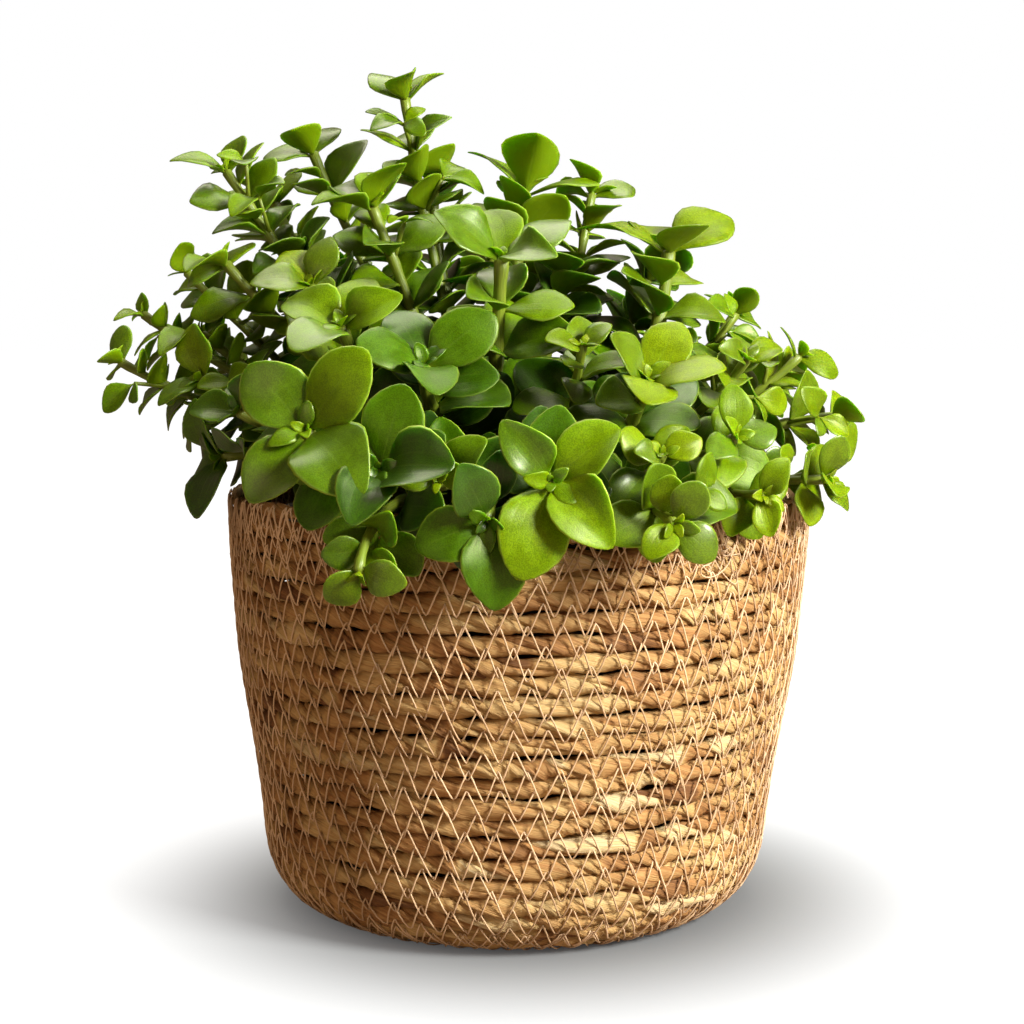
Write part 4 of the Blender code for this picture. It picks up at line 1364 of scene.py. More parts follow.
@dataclass(frozen=True)
class GrowthRule:
    """The rule that places stems and leaves, with the sizes that the solids were grown with."""

    soil_top: float = 92.0 * MM
    soil_mound: float = 2.5 * MM
    pot_rim_radius: float = 61.0 * MM
    curve_steps: int = 40
    stem_step: float = 20.0 * MM
    fewest_steps: int = 3
    stem_collar: float = 1.0 * MM
    stem_bend: float = 0.42
    least_lift: float = 0.6 * 16.0 * MM
    first_whorl_back: float = 1.2 * MM
    lowest_whorl: float = 9.0 * MM
    spacing_growth: float = 1.12
    large_leaf: float = 18.5 * MM
    leaf_width: float = 0.76
    cup: float = 0.24
    droop: float = 0.25
    tip_spread: float = 34.0
    upright_spread: float = 50.0
    level_spread: float = 66.0
    length_range: Pair = (0.86, 1.08)
    slim_range: Pair = (0.90, 1.08)
    turn_range: Pair = (-12.0, 12.0)
    spread_range: Pair = (-8.0, 8.0)
    ripe_by_size: float = 0.6
    ripe_by_age: float = 0.4
    steepest_side: float = 0.9
    light_pull: float = 0.9
    back_pull: float = 1.0
    light: Place = (0.12, -0.65, 0.60)

    def heading(self, turn: float, rise: float) -> Vector:
        """Unit vector from a direction round Z and an angle above level, in degrees."""
        flat, lift = math.radians(turn), math.radians(rise)
        return Vector((math.cos(flat) * math.cos(lift), math.sin(flat) * math.cos(lift), math.sin(lift)))

    def root(self, sprig: Sprig) -> Vector:
        """Where a stem leaves the soil."""
        turn = math.radians(sprig.root_angle)
        radius = sprig.root_radius * MM
        height = self.soil_top + self.soil_mound * (1.0 - (radius / self.pot_rim_radius) ** 2)
        return Vector((radius * math.cos(turn), radius * math.sin(turn), height))

    def curve(self, sprig: Sprig, shift: Place) -> Curve:
        """Control points of the stem's free part.

        Args:
            sprig: The leafy stem.
            shift: How far its middle is moved across, along and up, in millimetres.

        Returns:
            The four points.
        """
        start = self.root(sprig) + Vector((0.0, 0.0, self.stem_collar))
        tip = Vector(sprig.tip) * MM
        reach = (tip - start).length
        forward = self.heading(sprig.heading, sprig.rise)
        turn = math.radians(sprig.heading)
        across = Vector((-math.sin(turn), math.cos(turn), 0.0))
        outward = Vector((forward.x, forward.y, 0.0))
        move = (across * shift[0] + outward * shift[1] + Vector((0.0, 0.0, shift[2]))) * MM
        lift = max(self.stem_bend * reach, self.least_lift)
        first = start + Vector((0.0, 0.0, lift)) + move
        second = tip - forward * self.stem_bend * reach + move
        return start, first, second, tip

    def point(self, curve: Curve, t: float) -> Vector:
        """Point of a cubic curve."""
        a, b, c, d = curve
        s = 1.0 - t
        return a * s**3 + b * (3.0 * s * s * t) + c * (3.0 * s * t * t) + d * t**3

    def direction(self, curve: Curve, t: float) -> Vector:
        """Unit tangent of a cubic curve."""
        a, b, c, d = curve
        s = 1.0 - t
        return ((b - a) * (s * s) + (c - b) * (2.0 * s * t) + (d - c) * (t * t)).normalized()

    def lengths(self, curve: Curve) -> list[float]:
        """Running length along a cubic curve."""
        found = [0.0]
        before = curve[0]
        for i in range(1, self.curve_steps + 1):
            here = self.point(curve, i / self.curve_steps)
            found.append(found[-1] + (here - before).length)
            before = here
        return found

    def parameter(self, lengths: list[float], distance: float) -> float:
        """Curve parameter at a length from its start."""
        steps = len(lengths) - 1
        for i in range(steps):
            if distance <= lengths[i + 1]:
                part = (distance - lengths[i]) / (lengths[i + 1] - lengths[i])
                return (i + part) / steps
        return 1.0

    def axis_point(self, curve: Curve, t: float) -> Vector:
        """Point on the solid stem's axis, which is straight from ring to ring."""
        steps = max(self.fewest_steps, round(self.lengths(curve)[-1] / self.stem_step))
        place = t * steps
        ring = min(int(place), steps - 1)
        lower = self.point(curve, ring / steps)
        upper = self.point(curve, (ring + 1) / steps)
        return lower.lerp(upper, place - ring)

    def whorls(self, sprig: Sprig, curve: Curve, more: int = 0) -> list[tuple[int, float]]:
        """Number from the tip and curve parameter of each whorl, with some more below the last."""
        lengths = self.lengths(curve)
        distance = self.first_whorl_back
        step = sprig.spacing * MM
        places = []
        for i in range(sprig.whorls + more):
            from_start = lengths[-1] - distance
            if from_start < self.lowest_whorl:
                break
            places.append((i, self.parameter(lengths, from_start)))
            distance += step
            step *= self.spacing_growth
        return places

    def candidates(self, sprig: Sprig, curve: Curve, whorl: int, t: float, number: int) -> Iterator[Leaf]:
        """The leaf at one place of one whorl, in each way it may be tried.

        Args:
            sprig: The leafy stem.
            curve: Its control points.
            whorl: The whorl's number from the tip.
            t: The whorl's curve parameter.
            number: The leaf's number in its whorl.

        Yields:
            The leaf in each of its ways.
        """
        draw = random.Random(f"{sprig.name}-{whorl}-{number}")
        age = whorl / max(1, sprig.whorls - 1)
        length = (sprig.young_leaf + (sprig.old_leaf - sprig.young_leaf) * age) * MM
        length *= draw.uniform(*self.length_range)
        slim = draw.uniform(*self.slim_range)
        turn = sprig.phase + 360.0 * number / sprig.leaves + 180.0 / sprig.leaves * (whorl % 2)
        turn += draw.uniform(*self.turn_range)
        open_range = self.upright_spread - self.level_spread
        old_spread = self.level_spread + open_range * abs(sprig.rise) / 90.0
        ripeness = min(1.0, self.ripe_by_size * length / self.large_leaf + self.ripe_by_age * age)
        spread = self.tip_spread + (old_spread - self.tip_spread) * ripeness
        spread += draw.uniform(*self.spread_range)
        tone = draw.random()
        axis = self.direction(curve, t)
        side = Vector((1.0, 0.0, 0.0))
        if abs(axis.x) > self.steepest_side:
            side = Vector((0.0, 0.0, 1.0))
        side = (side - axis * side.dot(axis)).normalized()
        other = axis.cross(side)
        base = self.axis_point(curve, t)
        away = Vector((base.x, base.y, 0.0)).normalized()
        light = Vector(self.light).normalized()
        for extra_turn, extra_spread, scale in LEAF_TRIES:
            clock = math.radians(turn + extra_turn)
            open_angle = math.radians(spread + extra_spread)
            outward = side * math.cos(clock) + other * math.sin(clock)
            along = (axis * math.cos(open_angle) + outward * math.sin(open_angle)).normalized()
            up = axis - along * axis.dot(along)
            up = up.normalized() + light * self.light_pull + away * self.back_pull * max(0.0, away.y)
            up = (up - along * up.dot(along)).normalized()
            size = length * scale
            yield Leaf(base, along, up, size, size * self.leaf_width * slim, 1.0 - age, tone)

    def surface(self, leaf: Leaf, u: float, v: float) -> Vector:
        """Point of the leaf's middle surface: u from base to tip, v across in metres."""
        across = leaf.up.cross(leaf.along)
        lift = self.cup * v * v / (0.5 * leaf.width) - self.droop * u * u * leaf.length
        return leaf.base + leaf.along * (u * leaf.length) + across * v + leaf.up * lift


class OccupiedSpace:
    """Small cells that mark where leaves and stems are, by which a new leaf is kept clear of them."""

    wall_top: float = 109.0 * MM
    wall_inside: float = 55.0 * MM
    wall_outside: float = 77.5 * MM
    soil_top: float = 96.5 * MM
    soil_radius: float = 62.0 * MM

    def __init__(self, low: Vector, high: Vector, cell: float = 0.8 * MM) -> None:
        """Start empty, inside a box."""
        self.low = np.array(low)
        self.high = np.array(high)
        self.cell = cell
        self.counts = np.ceil((self.high - self.low) / cell).astype(int) + 4
        self.taken = np.zeros(self.counts, bool)

    def cells(self, points: np.ndarray) -> np.ndarray:
        """The cell of each point."""
        found = np.floor((points - self.low) / self.cell).astype(int) + 2
        return np.clip(found, 1, self.counts - 2)

    def mark(self, points: np.ndarray) -> None:
        """Take the cells of these points and the cells next to them."""
        middle = np.unique(self.cells(points), axis=0)
        for step in np.ndindex(3, 3, 3):
            self.taken[tuple((middle + np.array(step) - 1).T)] = True

    def admits(self, points: np.ndarray) -> bool:
        """Whether these points stay clear of what is marked, of the basket, the pot and the soil."""
        if (points < self.low).any() or (points > self.high).any():
            return False
        radius = np.hypot(points[:, 0], points[:, 1])
        height = points[:, 2]
        in_wall = (height < self.wall_top) & (radius > self.wall_inside) & (radius < self.wall_outside)
        in_soil = (height < self.soil_top) & (radius <= self.soil_radius)
        if (in_wall | in_soil).any():
            return False
        return not self.taken[tuple(self.cells(points).T)].any()


@dataclass(frozen=True)
class LeafShape:
    """The fine form of a leaf, shaped from a sphere whose poles are its base and its tip."""

    around: int = 16
    rings: int = 12
    half_thickness: float = 0.56 * MM
    full_thickness_leaf: float = 12.0 * MM
    breadth: float = 1.0
    widest: float = 0.59
    base_bluntness: float = 0.58
    tip_bluntness: float = 0.62
    petiole: float = 0.24
    petiole_end: float = 0.32
    edge_power: float = 0.75
    fold: float = 0.48
    wave: float = 0.045
    twist: float = 36.0
    recurve: float = 0.20
    recurve_from: float = 0.45
    crease_softness: float = 0.08
    ripples: float = 1.3
    thin_end: float = 0.55
    clear_from: float = 0.32
    cup_range: Pair = (-0.6, 1.0)
    fold_range: Pair = (-0.2, 1.0)
    wave_range: Pair = (0.2, 1.0)
    droop_range: Pair = (0.75, 1.25)

    def template(self) -> bpy.types.Mesh:
        """A sphere that carries the leaf's own coordinates and which side is up."""
        bm = bmesh.new()
        bmesh.ops.create_uvsphere(bm, u_segments=self.around, v_segments=self.rings, radius=1.0)
        uv = bm.loops.layers.uv.new("UVMap")
        upper = bm.verts.layers.float.new("upper")
        bm.verts.layers.float.new("tone")
        bm.verts.layers.float.new("youth")
        for face in bm.faces:
            for loop in face.loops:
                along, across, _ = self.share(loop.vert.co)
                loop[uv].uv = (along, 0.5 + 0.5 * across)
        for vert in bm.verts:
            vert[upper] = min(1.0, max(0.0, 0.5 + 2.0 * self.share(vert.co)[2]))
        mesh = bpy.data.meshes.new("leaf_template")
        bm.to_mesh(mesh)
        bm.free()
        return mesh

    def share(self, point: Vector) -> tuple[float, float, float]:
        """Share of the length, of the half width and of the half thickness at a point of the sphere."""
        ring = math.hypot(point.x, point.y)
        if ring < 1e-4:
            return 0.5 * (1.0 + point.z), 0.0, 0.0
        return 0.5 * (1.0 + point.z), point.x / ring, point.y / ring

    def half_width(self, along: float) -> float:
        """Half width of the blade at a share of its length, as a share of its largest."""
        power = math.log(0.5) / math.log(self.widest)
        bluntness = self.base_bluntness + (self.tip_bluntness - self.base_bluntness) * along
        blade = max(0.0, math.sin(math.pi * along**power)) ** bluntness
        grown = min(1.0, along / self.petiole_end)
        grown = grown * grown * (3.0 - 2.0 * grown)
        return self.breadth * blade * (self.petiole + (1.0 - self.petiole) * grown)

    def shares(self, mesh: bpy.types.Mesh) -> np.ndarray:
        """For each point of the template: share along, share across and share of the half thickness."""
        found = []
        for vert in mesh.vertices:
            along, across, rise = self.share(vert.co)
            thick = math.copysign(abs(rise) ** self.edge_power, rise)
            thick *= self.thin_end + (1.0 - self.thin_end) * math.sin(math.pi * min(1.0, along * 1.05))
            found.append((along, across * self.half_width(along), thick))
        return np.array(found)

    def middle(self) -> np.ndarray:
        """Shares of points close together over the leaf's middle surface, past its stalk."""
        found = []
        for along in np.linspace(self.clear_from, 1.0, 16):
            half = self.half_width(float(along))
            found += [(along, across * half, 0.0) for across in np.linspace(-1.0, 1.0, 11)]
        return np.array(found)

    def points(self, leaf: Leaf, shares: np.ndarray, rule: GrowthRule) -> np.ndarray:
        """The places of the template's points on one leaf.

        Args:
            leaf: The leaf.
            shares: The template's shares.
            rule: The rule, for the largest cup and the usual droop of a leaf.

        Returns:
            One row for each point.
        """
        draw = random.Random(f"{leaf.tone:.6f}")
        base, along, up = (np.array(part) for part in (leaf.base, leaf.along, leaf.up))
        side = np.cross(up, along)
        u, across, rise = shares.T
        half = 0.5 * leaf.width
        v = across * half
        twist = math.radians(self.twist) * draw.uniform(-1.0, 1.0) * u
        cos, sin = np.cos(twist)[:, None], np.sin(twist)[:, None]
        own_side = side * cos + up * sin
        own_up = up * cos - side * sin
        soft = self.crease_softness * half
        crease = np.sqrt(v * v + soft ** 2) - soft
        lift = rule.cup * draw.uniform(*self.cup_range) * v * v / half
        lift = lift + self.fold * draw.uniform(*self.fold_range) * crease
        ripple = np.sin(math.tau * (self.ripples * u + draw.random())) * np.sign(across) * across * across
        lift = lift + self.wave * leaf.length * draw.uniform(*self.wave_range) * ripple
        thick = self.half_thickness * min(1.0, leaf.length / self.full_thickness_leaf)
        drop = rule.droop * draw.uniform(*self.droop_range) * leaf.length * u * u
        bent = np.clip(u - self.recurve_from, 0.0, None) / (1.0 - self.recurve_from)
        drop = drop + self.recurve * draw.uniform(0.0, 1.0) * leaf.length * bent * bent
        place = base + along * (u * leaf.length)[:, None] - up * drop[:, None]
        return place + own_side * v[:, None] + own_up * (lift + rise * thick)[:, None]


class Blade(Enum):
    """The kinds of leaf blade, each with its shape."""

    ROUND = LeafShape(breadth=1.04)
    OVAL = LeafShape(breadth=1.02, base_bluntness=0.80, widest=0.60)
    TINY = LeafShape(around=10, rings=8, base_bluntness=0.85, tip_bluntness=0.68, widest=0.60, wave=0.0)
    POINTED = LeafShape(breadth=1.04, petiole=0.32, base_bluntness=0.95, tip_bluntness=0.74, widest=0.60)


class LeafKind(NamedTuple):
    """A leaf shape with its template, the template's shares and those of its middle surface."""

    shape: LeafShape
    template: bpy.types.Mesh
    shares: np.ndarray
    middle: np.ndarray


def opened(axis: Vector, clock: float, opening: float) -> tuple[Vector, Vector]:
    """The directions along and up from a leaf that opens from an axis.

    Args:
        axis: The axis that it springs from.
        clock: The angle round the axis.
        opening: The angle away from the axis.

    Returns:
        Two unit vectors.
    """
    outward = round_axis(axis, clock)
    along = (axis * math.cos(opening) + outward * math.sin(opening)).normalized()
    return along, (axis - along * axis.dot(along)).normalized()


def round_axis(axis: Vector, clock: float) -> Vector:
    """The direction square to an axis at an angle round it."""
    side = axis.orthogonal().normalized()
    return side * math.cos(clock) + axis.cross(side) * math.sin(clock)


@dataclass
class LeafyStem:
    """One sprig: its stem and the leaves that its solid has, with the small ones that it leaves out."""

    sprig: Sprig
    rule: GrowthRule
    kinds: dict[Blade, LeafKind]
    tip_match: float = 0.05 * MM
    front_pull: float = 0.45
    loose_angle: float = 12.0
    loose_amounts: tuple[float, ...] = (1.0, -1.0, 0.5, -0.5)
    lower_size: float = 0.8
    between_youth: float = 0.2
    # Leaf colour is lightened high up, for young growth and as painted light from above, and towards the lit
    # side as painted light.
    youth_and_painted_light_rise: float = 6.0
    plain_height: float = 139.0 * MM
    lit_side_painted_light: float = 4.0
    tiny_below: float = 9.0 * MM
    round_above: float = 16.5 * MM
    pointed_tip: float = 160.0
    bud_leaves: int = 5
    bud_turn: float = 137.5
    foot_radius: float = 1.80 * MM
    tip_radius: float = 1.45 * MM
    stoutness: Pair = (0.72, 1.1)
    stem_sides: int = 10
    ring_swell: float = 0.28
    ring_width: float = 1.8 * MM
    shoot_tries: int = 8
    shoot_radii: tuple[float, ...] = (0.75 * MM, 0.62 * MM, 0.55 * MM, 0.5 * MM)
    curve: Curve | None = None
    solid_leaves: list[tuple[Leaf, Vector]] = field(default_factory=list)
    leaves: list[Leaf] = field(default_factory=list)
    shoots: list[tuple[Vector, Vector]] = field(default_factory=list)

    def find(self) -> int:
        """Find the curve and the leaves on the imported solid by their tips.

        Returns:
            How many leaves the solid has.
        """
        node = bpy.data.objects["stem_" + self.sprig.name]
        tree = KDTree(len(node.data.vertices))
        for number, vert in enumerate(node.data.vertices):
            tree.insert(vert.co, number)
        tree.balance()
        for shift in STEM_TRIES:
            curve = self.rule.curve(self.sprig, shift)
            found = []
            for whorl, t in self.rule.whorls(self.sprig, curve):
                for number in range(self.sprig.leaves):
                    for leaf in self.rule.candidates(self.sprig, curve, whorl, t, number):
                        if tree.find(self.rule.surface(leaf, 1.0, 0.0))[2] < self.tip_match:
                            found.append((leaf, self.rule.direction(curve, t)))
                            break
            if self.curve is None or len(found) > len(self.solid_leaves):
                self.curve = curve
                self.solid_leaves = found
        return len(self.solid_leaves)

    def middle(self, leaf: Leaf) -> np.ndarray:
        """Points over a leaf's middle surface."""
        kind = self.kinds[self.blade(leaf)]
        return kind.shape.points(leaf, kind.middle, self.rule)

    def loosened(self, leaf: Leaf, axis: Vector, amount: float) -> Leaf:
        """A leaf turned, tipped and sized a little of its own, so that no whorl is too neat.

        Args:
            leaf: The leaf as its solid has it.
            axis: The stem's direction where it springs from.
            amount: The share of the change, below 0 to turn and tip it the other way.

        Returns:
            The changed leaf.
        """
        draw = random.Random(f"loose-{leaf.tone:.6f}")
        most = self.loose_angle
        turn = Matrix.Rotation(math.radians(amount * draw.uniform(-most, most)), 3, axis)
        side = leaf.up.cross(leaf.along).normalized()
        turn = turn @ Matrix.Rotation(math.radians(amount * draw.uniform(-most, most)), 3, side)
        smaller = draw.uniform(0.10, 0.22) if draw.random() < 0.4 else draw.uniform(-0.03, 0.06)
        size = 1.0 - abs(amount) * smaller
        along = turn @ leaf.along
        up = turn @ leaf.up + Vector((0.0, -self.front_pull, 0.0))
        up = (up - along * up.dot(along)).normalized()
        return leaf._replace(along=along, up=up, length=size * leaf.length, width=size * leaf.width)

    def keep(self, leaf: Leaf, space: OccupiedSpace) -> None:
        """Keep a leaf and mark its room."""
        self.leaves.append(leaf)
        space.mark(self.middle(leaf))

    def keep_first(self, ways: Iterable[Leaf], space: OccupiedSpace) -> int:
        """Keep the first of these leaves that has room, and say how many were kept."""
        for leaf in ways:
            if space.admits(self.middle(leaf)):
                self.keep(leaf, space)
                return 1
        return 0

    def settle(self, space: OccupiedSpace) -> None:
        """Place the leaves that the solid has, each loosened as far as there is room."""
        for leaf, axis in self.solid_leaves:
            ways = (self.loosened(leaf, axis, amount) for amount in self.loose_amounts)
            if not self.keep_first(ways, space):
                self.keep(leaf, space)

    def mark_stem(self, space: OccupiedSpace) -> None:
        """Keep the stem's own room."""
        steps = math.ceil(self.rule.lengths(self.curve)[-1] / space.cell)
        points = [tuple(self.rule.point(self.curve, step / steps)) for step in range(steps + 1)]
        space.mark(np.array(points))

    def fill(self, space: OccupiedSpace, more: int) -> int:
        """Add the small leaves that the solid leaves out, where there is room.

        Args:
            space: The room that is taken so far.
            more: How many whorls to add below the lowest.

        Returns:
            How many leaves were added.
        """
        added = 0
        taken = {self.key(leaf) for leaf, _ in self.solid_leaves}
        for whorl, t in self.rule.whorls(self.sprig, self.curve, more):
            size = self.lower_size if whorl >= self.sprig.whorls else 1.0
            for number in range(self.sprig.leaves):
                ways = list(self.rule.candidates(self.sprig, self.curve, whorl, t, number))
                if not any(self.key(leaf) in taken for leaf in ways):
                    added += self.keep_first((self.resized(leaf, size) for leaf in ways), space)
        return added

    def fill_between(self, space: OccupiedSpace, size: float) -> int:
        """Add small leaves half way between the whorls, where there is room.

        Args:
            space: The room that is taken so far.
            size: Their size as a share of the whorl's own leaves.

        Returns:
            How many leaves were added.
        """
        added = 0
        places = self.rule.whorls(self.sprig, self.curve, 4)
        for (whorl, t), (_, below) in zip(places, places[1:]):
            for number in range(self.sprig.leaves):
                ways = self.rule.candidates(self.sprig, self.curve, whorl + 1, 0.5 * (t + below), number)
                shift = 0.37 * (number + 1)
                fresh = (
                    self.resized(leaf, size, self.between_youth)._replace(tone=(leaf.tone + shift) % 1.0)
                    for leaf in ways
                )
                added += self.keep_first(fresh, space)
        return added

    def resized(self, leaf: Leaf, size: float, younger: float = 0.0) -> Leaf:
        """A leaf made smaller by a share, and younger, with its youth kept from 0 to 1."""
        youth = min(1.0, max(0.0, leaf.youth + younger))
        return leaf._replace(youth=youth, length=size * leaf.length, width=size * leaf.width)

    def key(self, leaf: Leaf) -> tuple:
        """What tells one leaf from another."""
        return tuple(round(value, 6) for value in (*leaf.base, *leaf.along, leaf.length))

    def buds(self) -> list[Leaf]:
        """The tiny new leaves that close the stem's tip."""
        axis = self.rule.direction(self.curve, 1.0)
        draw = random.Random(f"bud-{self.sprig.name}")
        made = []
        first = draw.uniform(0.0, 360.0)
        for number in range(self.bud_leaves):
            clock = math.radians(first + self.bud_turn * number)
            opening = math.radians(14.0 + 7.0 * number + draw.uniform(-4.0, 4.0))
            along, up = opened(axis, clock, opening)
            length = (2.6 + 0.9 * number) * MM * draw.uniform(0.85, 1.15)
            length *= min(1.25, self.sprig.young_leaf / 14.0)
            made.append(Leaf(self.curve[3], along, up, length, 0.62 * length, 1.0, draw.random()))
        return made

    def stem_mesh(self) -> bpy.types.Mesh:
        """The round stem, stout where its leaves are large, with a slightly swollen ring at each whorl."""
        thinnest, stoutest = self.stoutness
        stoutness = min(stoutest, max(thinnest, self.sprig.young_leaf / 18.0))
        foot, tip = self.foot_radius * stoutness, self.tip_radius * stoutness
        lengths = self.rule.lengths(self.curve)
        stations = max(12, round(lengths[-1] / (2.2 * MM)))
        whorls = [t for _, t in self.rule.whorls(self.sprig, self.curve, 3)]
        path = [self.curve[0] - Vector((0.0, 0.0, sunk)) for sunk in (9.0 * MM, 4.0 * MM)]
        radii = [foot, foot]
        for i in range(stations + 1):
            t = i / stations
            path.append(self.rule.point(self.curve, t))
            near = min((abs(t - whorl) * lengths[-1] for whorl in whorls), default=1.0)
            swell = 1.0 + self.ring_swell * math.exp(-((near / self.ring_width) ** 2))
            radii.append((foot + (tip - foot) * t) * swell)
        path.append(self.curve[3] + self.rule.direction(self.curve, 1.0) * 0.8 * MM)
        radii.append(0.45 * tip)
        tone = np.clip(np.linspace(1.0, -0.35, len(path)), 0.0, 1.0)
        return self.twig(path, radii, self.stem_sides, (lengths[-1], math.tau * foot), tone)

    def twig(
        self,
        path: list[Vector],
        radii: Sequence[float],
        sides: int,
        size: Pair,
        tone: np.ndarray,
    ) -> bpy.types.Mesh:
        """A tube along a path.

        Args:
            path: Its points.
            radii: Its radius at each point.
            sides: How many points make a ring.
            size: Its length and the way round it, for its coordinates.
            tone: Its tone at each point.

        Returns:
            The mesh.
        """
        points = np.array([tuple(point) for point in path])
        lift = np.tile(np.array((0.31, 0.95, 0.05)), (len(points), 1))
        return tube_mesh(tube_rings(points, lift, np.array(radii), sides), *size, tone)

    def add_shoots(self, space: OccupiedSpace) -> int:
        """Grow short shoots in the leaf axils, each with a few tiny leaves, where there is room.

        Args:
            space: The room that is taken so far.

        Returns:
            How many leaves were added.
        """
        added = 0
        draw = random.Random(f"shoot-{self.sprig.name}")
        for _, t in self.rule.whorls(self.sprig, self.curve, 2)[1:]:
            axis = self.rule.direction(self.curve, t)
            base = self.rule.point(self.curve, t)
            first = draw.uniform(0.0, math.tau)
            for number in range(self.shoot_tries):
                outward = round_axis(axis, first + 2.4 * number + draw.uniform(-0.3, 0.3))
                lean = (axis + outward * draw.uniform(0.7, 1.3)).normalized()
                tip = base + lean * (draw.uniform(4.0, 12.0) * MM)
                ring = self.tiny_ring(tip, lean, draw)
                kept = [leaf for leaf in ring if space.admits(self.middle(leaf))]
                if len(kept) < 2:
                    continue
                self.shoots.append((base, tip))
                added += len(kept)
                for leaf in kept:
                    self.keep(leaf, space)
        return added

    def tiny_ring(self, tip: Vector, lean: Vector, draw: random.Random) -> list[Leaf]:
        """Four small leaves round a shoot's tip."""
        first = draw.uniform(0.0, math.tau)
        ring = []
        for number in range(4):
            opening = math.radians(draw.uniform(38.0, 68.0))
            along, up = opened(lean, first + 0.5 * math.pi * number, opening)
            length = draw.uniform(7.0, 12.0) * MM
            ring.append(Leaf(tip, along, up, length, 0.66 * length, draw.uniform(0.5, 1.0), draw.random()))
        return ring

    def shoot_mesh(self, base: Vector, tip: Vector) -> bpy.types.Mesh:
        """The thin stem of one side shoot."""
        path = [base.lerp(tip, part) for part in (0.0, 0.35, 0.7, 1.0)]
        size = ((tip - base).length, math.tau * 0.6 * MM)
        return self.twig(path, self.shoot_radii, 6, size, np.full(len(path), 0.1))

    def build(self, materials: list[bpy.types.Material]) -> None:
        """Make the sprig as one piece, from the leaf material and the stem material."""
        bm = closed_tubes([self.stem_mesh()] + [self.shoot_mesh(*shoot) for shoot in self.shoots])
        bm.verts.layers.float.new("upper")
        bm.verts.layers.float.new("youth")
        for face in bm.faces:
            face.material_index = 1
        leaves = self.leaves + self.buds()
        for blade, kind in self.kinds.items():
            chosen = [leaf for leaf in leaves if self.blade(leaf) is blade]
            if chosen:
                mesh = self.leaf_mesh(chosen, kind)
                bm.from_mesh(mesh)
                bpy.data.meshes.remove(mesh)
        piece = object_from("jade_" + self.sprig.name, bm, materials)
        finish_piece(piece, self.sprig.tone.value, "stem_" + self.sprig.name)

    def blade(self, leaf: Leaf) -> Blade:
        """The kind of blade that a leaf has."""
        if leaf.length < self.tiny_below:
            return Blade.TINY
        if self.sprig.tip[2] >= self.pointed_tip:
            return Blade.POINTED
        return Blade.ROUND if leaf.length > self.round_above else Blade.OVAL

    def youth_and_painted_light(self, leaf: Leaf) -> float:
        """A leaf's youth as its colour shows it, raised high up for young growth and as painted light from
        above, and raised towards the lit side as painted light.
        """
        lit = self.lit_side_painted_light * max(0.0, leaf.base.x)
        return leaf.youth + self.youth_and_painted_light_rise * (leaf.base.z - self.plain_height) + lit

    def leaf_mesh(self, leaves: list[Leaf], kind: LeafKind) -> bpy.types.Mesh:
        """Copies of a kind's template, each shaped into a leaf."""
        bm = bmesh.new()
        for _ in leaves:
            bm.from_mesh(kind.template)
        mesh = bpy.data.meshes.new("leaves")
        bm.to_mesh(mesh)
        bm.free()
        places = [kind.shape.points(leaf, kind.shares, self.rule) for leaf in leaves]
        mesh.vertices.foreach_set("co", np.concatenate(places).astype(np.float32).ravel())
        tones = [leaf.tone for leaf in leaves]
        # Painted light goes into the youth attribute here, lightening leaves high up and on the lit side.
        youths_with_painted_light = [self.youth_and_painted_light(leaf) for leaf in leaves]
        for name, values in (("tone", tones), ("youth", np.clip(youths_with_painted_light, 0.0, 1.0))):
            spread = np.repeat(np.array(values, np.float32), len(kind.shares))
            mesh.attributes[name].data.foreach_set("value", spread)
        return mesh


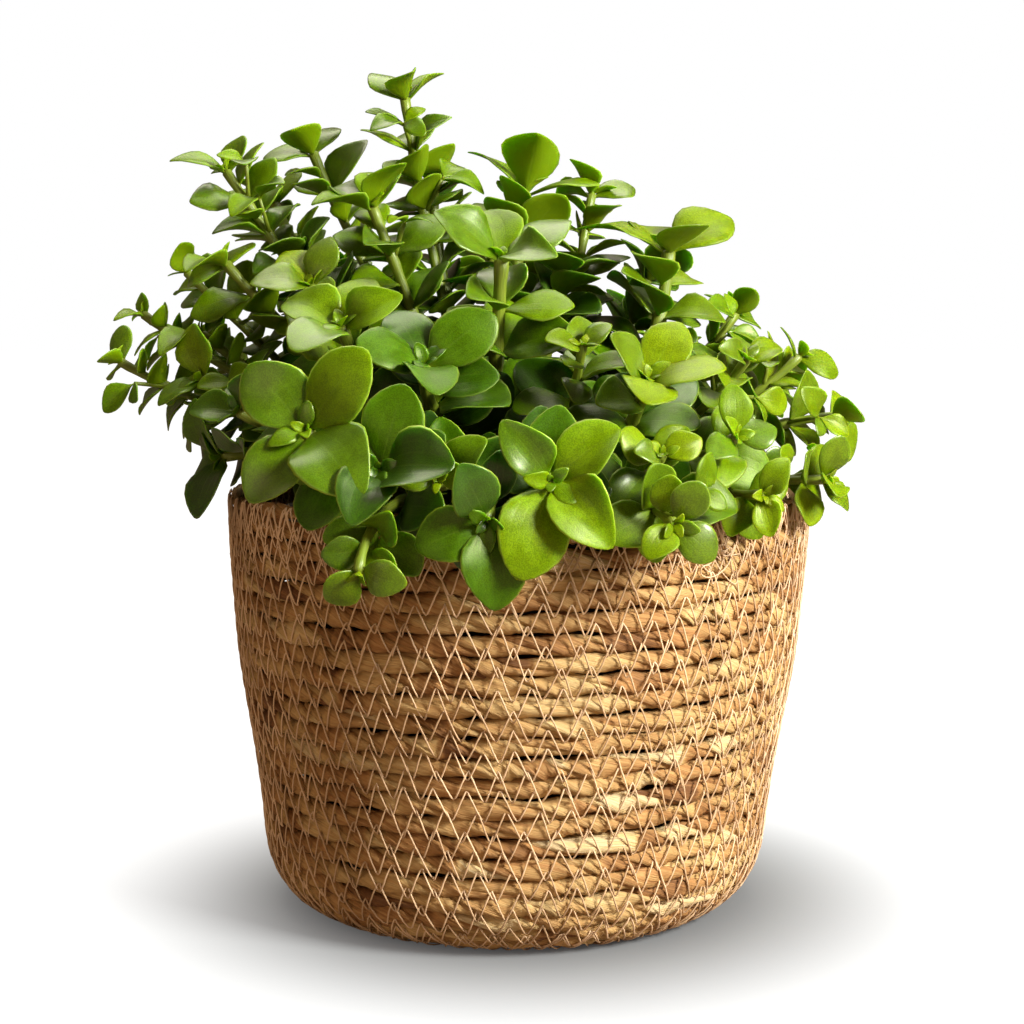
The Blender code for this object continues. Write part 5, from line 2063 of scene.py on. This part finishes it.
# The third colour of each finish is the underside's, a paler green lightened as painted light shining through
# the leaf.
LEAF_FINISHES = {
    Tone.DARK: LeafFinish("jade_leaf_dark", (0.012, 0.042, 0.0), (0.040, 0.100, 0.0), (0.075, 0.125, 0.0)),
    Tone.GREEN: LeafFinish("jade_leaf_green", (0.027, 0.082, 0.0), (0.112, 0.196, 0.0), (0.140, 0.215, 0.0)),
    Tone.YOUNG: LeafFinish("jade_leaf_young", (0.032, 0.090, 0.0), (0.124, 0.190, 0.0), (0.165, 0.240, 0.0)),
}


@dataclass
class JadeBush:
    """The whole plant."""

    rule: GrowthRule
    more_whorls: int = 6
    between_size: float = 0.84

    def kinds(self) -> dict[Blade, LeafKind]:
        """Every kind of leaf with its template."""
        made = {}
        for blade in Blade:
            shape = blade.value
            template = shape.template()
            made[blade] = LeafKind(shape, template, shape.shares(template), shape.middle())
        return made

    def build(self, groups: ShaderGroups) -> None:
        """Grow every sprig, fill the gaps and make the pieces."""
        space = OccupiedSpace(*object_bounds())
        kinds = self.kinds()
        stems = [LeafyStem(sprig, self.rule, kinds) for sprig in SPRIGS]
        found = sum(stem.find() for stem in stems)
        for stem in stems:
            stem.settle(space)
        for stem in stems:
            stem.mark_stem(space)
        more = sum(stem.fill(space, self.more_whorls) for stem in stems)
        more += sum(stem.fill_between(space, self.between_size) for stem in stems)
        tiny = sum(stem.add_shoots(space) for stem in stems)
        log.info("%d leaves found on the solids, %d small and %d tiny ones added", found, more, tiny)
        leaf_materials = {tone: finish.material(groups) for tone, finish in LEAF_FINISHES.items()}
        stem_material = StemFinish().material(groups)
        for stem in stems:
            stem.build([leaf_materials[stem.sprig.tone], stem_material])
        for kind in kinds.values():
            bpy.data.meshes.remove(kind.template)


# Build

def main() -> None:
    """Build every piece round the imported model, in order."""
    logging.basicConfig(level=logging.INFO, format="%(name)s: %(message)s")
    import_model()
    solid_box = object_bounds()
    groups = ShaderGroups()
    Studio().build()
    JadeBush(GrowthRule()).build(groups)
    Basket(BasketForm()).build(groups)
    GrowPot().build(groups)
    PottingSoil().build(groups)
    boxes = {"solid": solid_box, "looks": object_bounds()}
    {name: [list(corner) for corner in box] for name, box in boxes.items()}


if __name__ == "__main__":
    main()
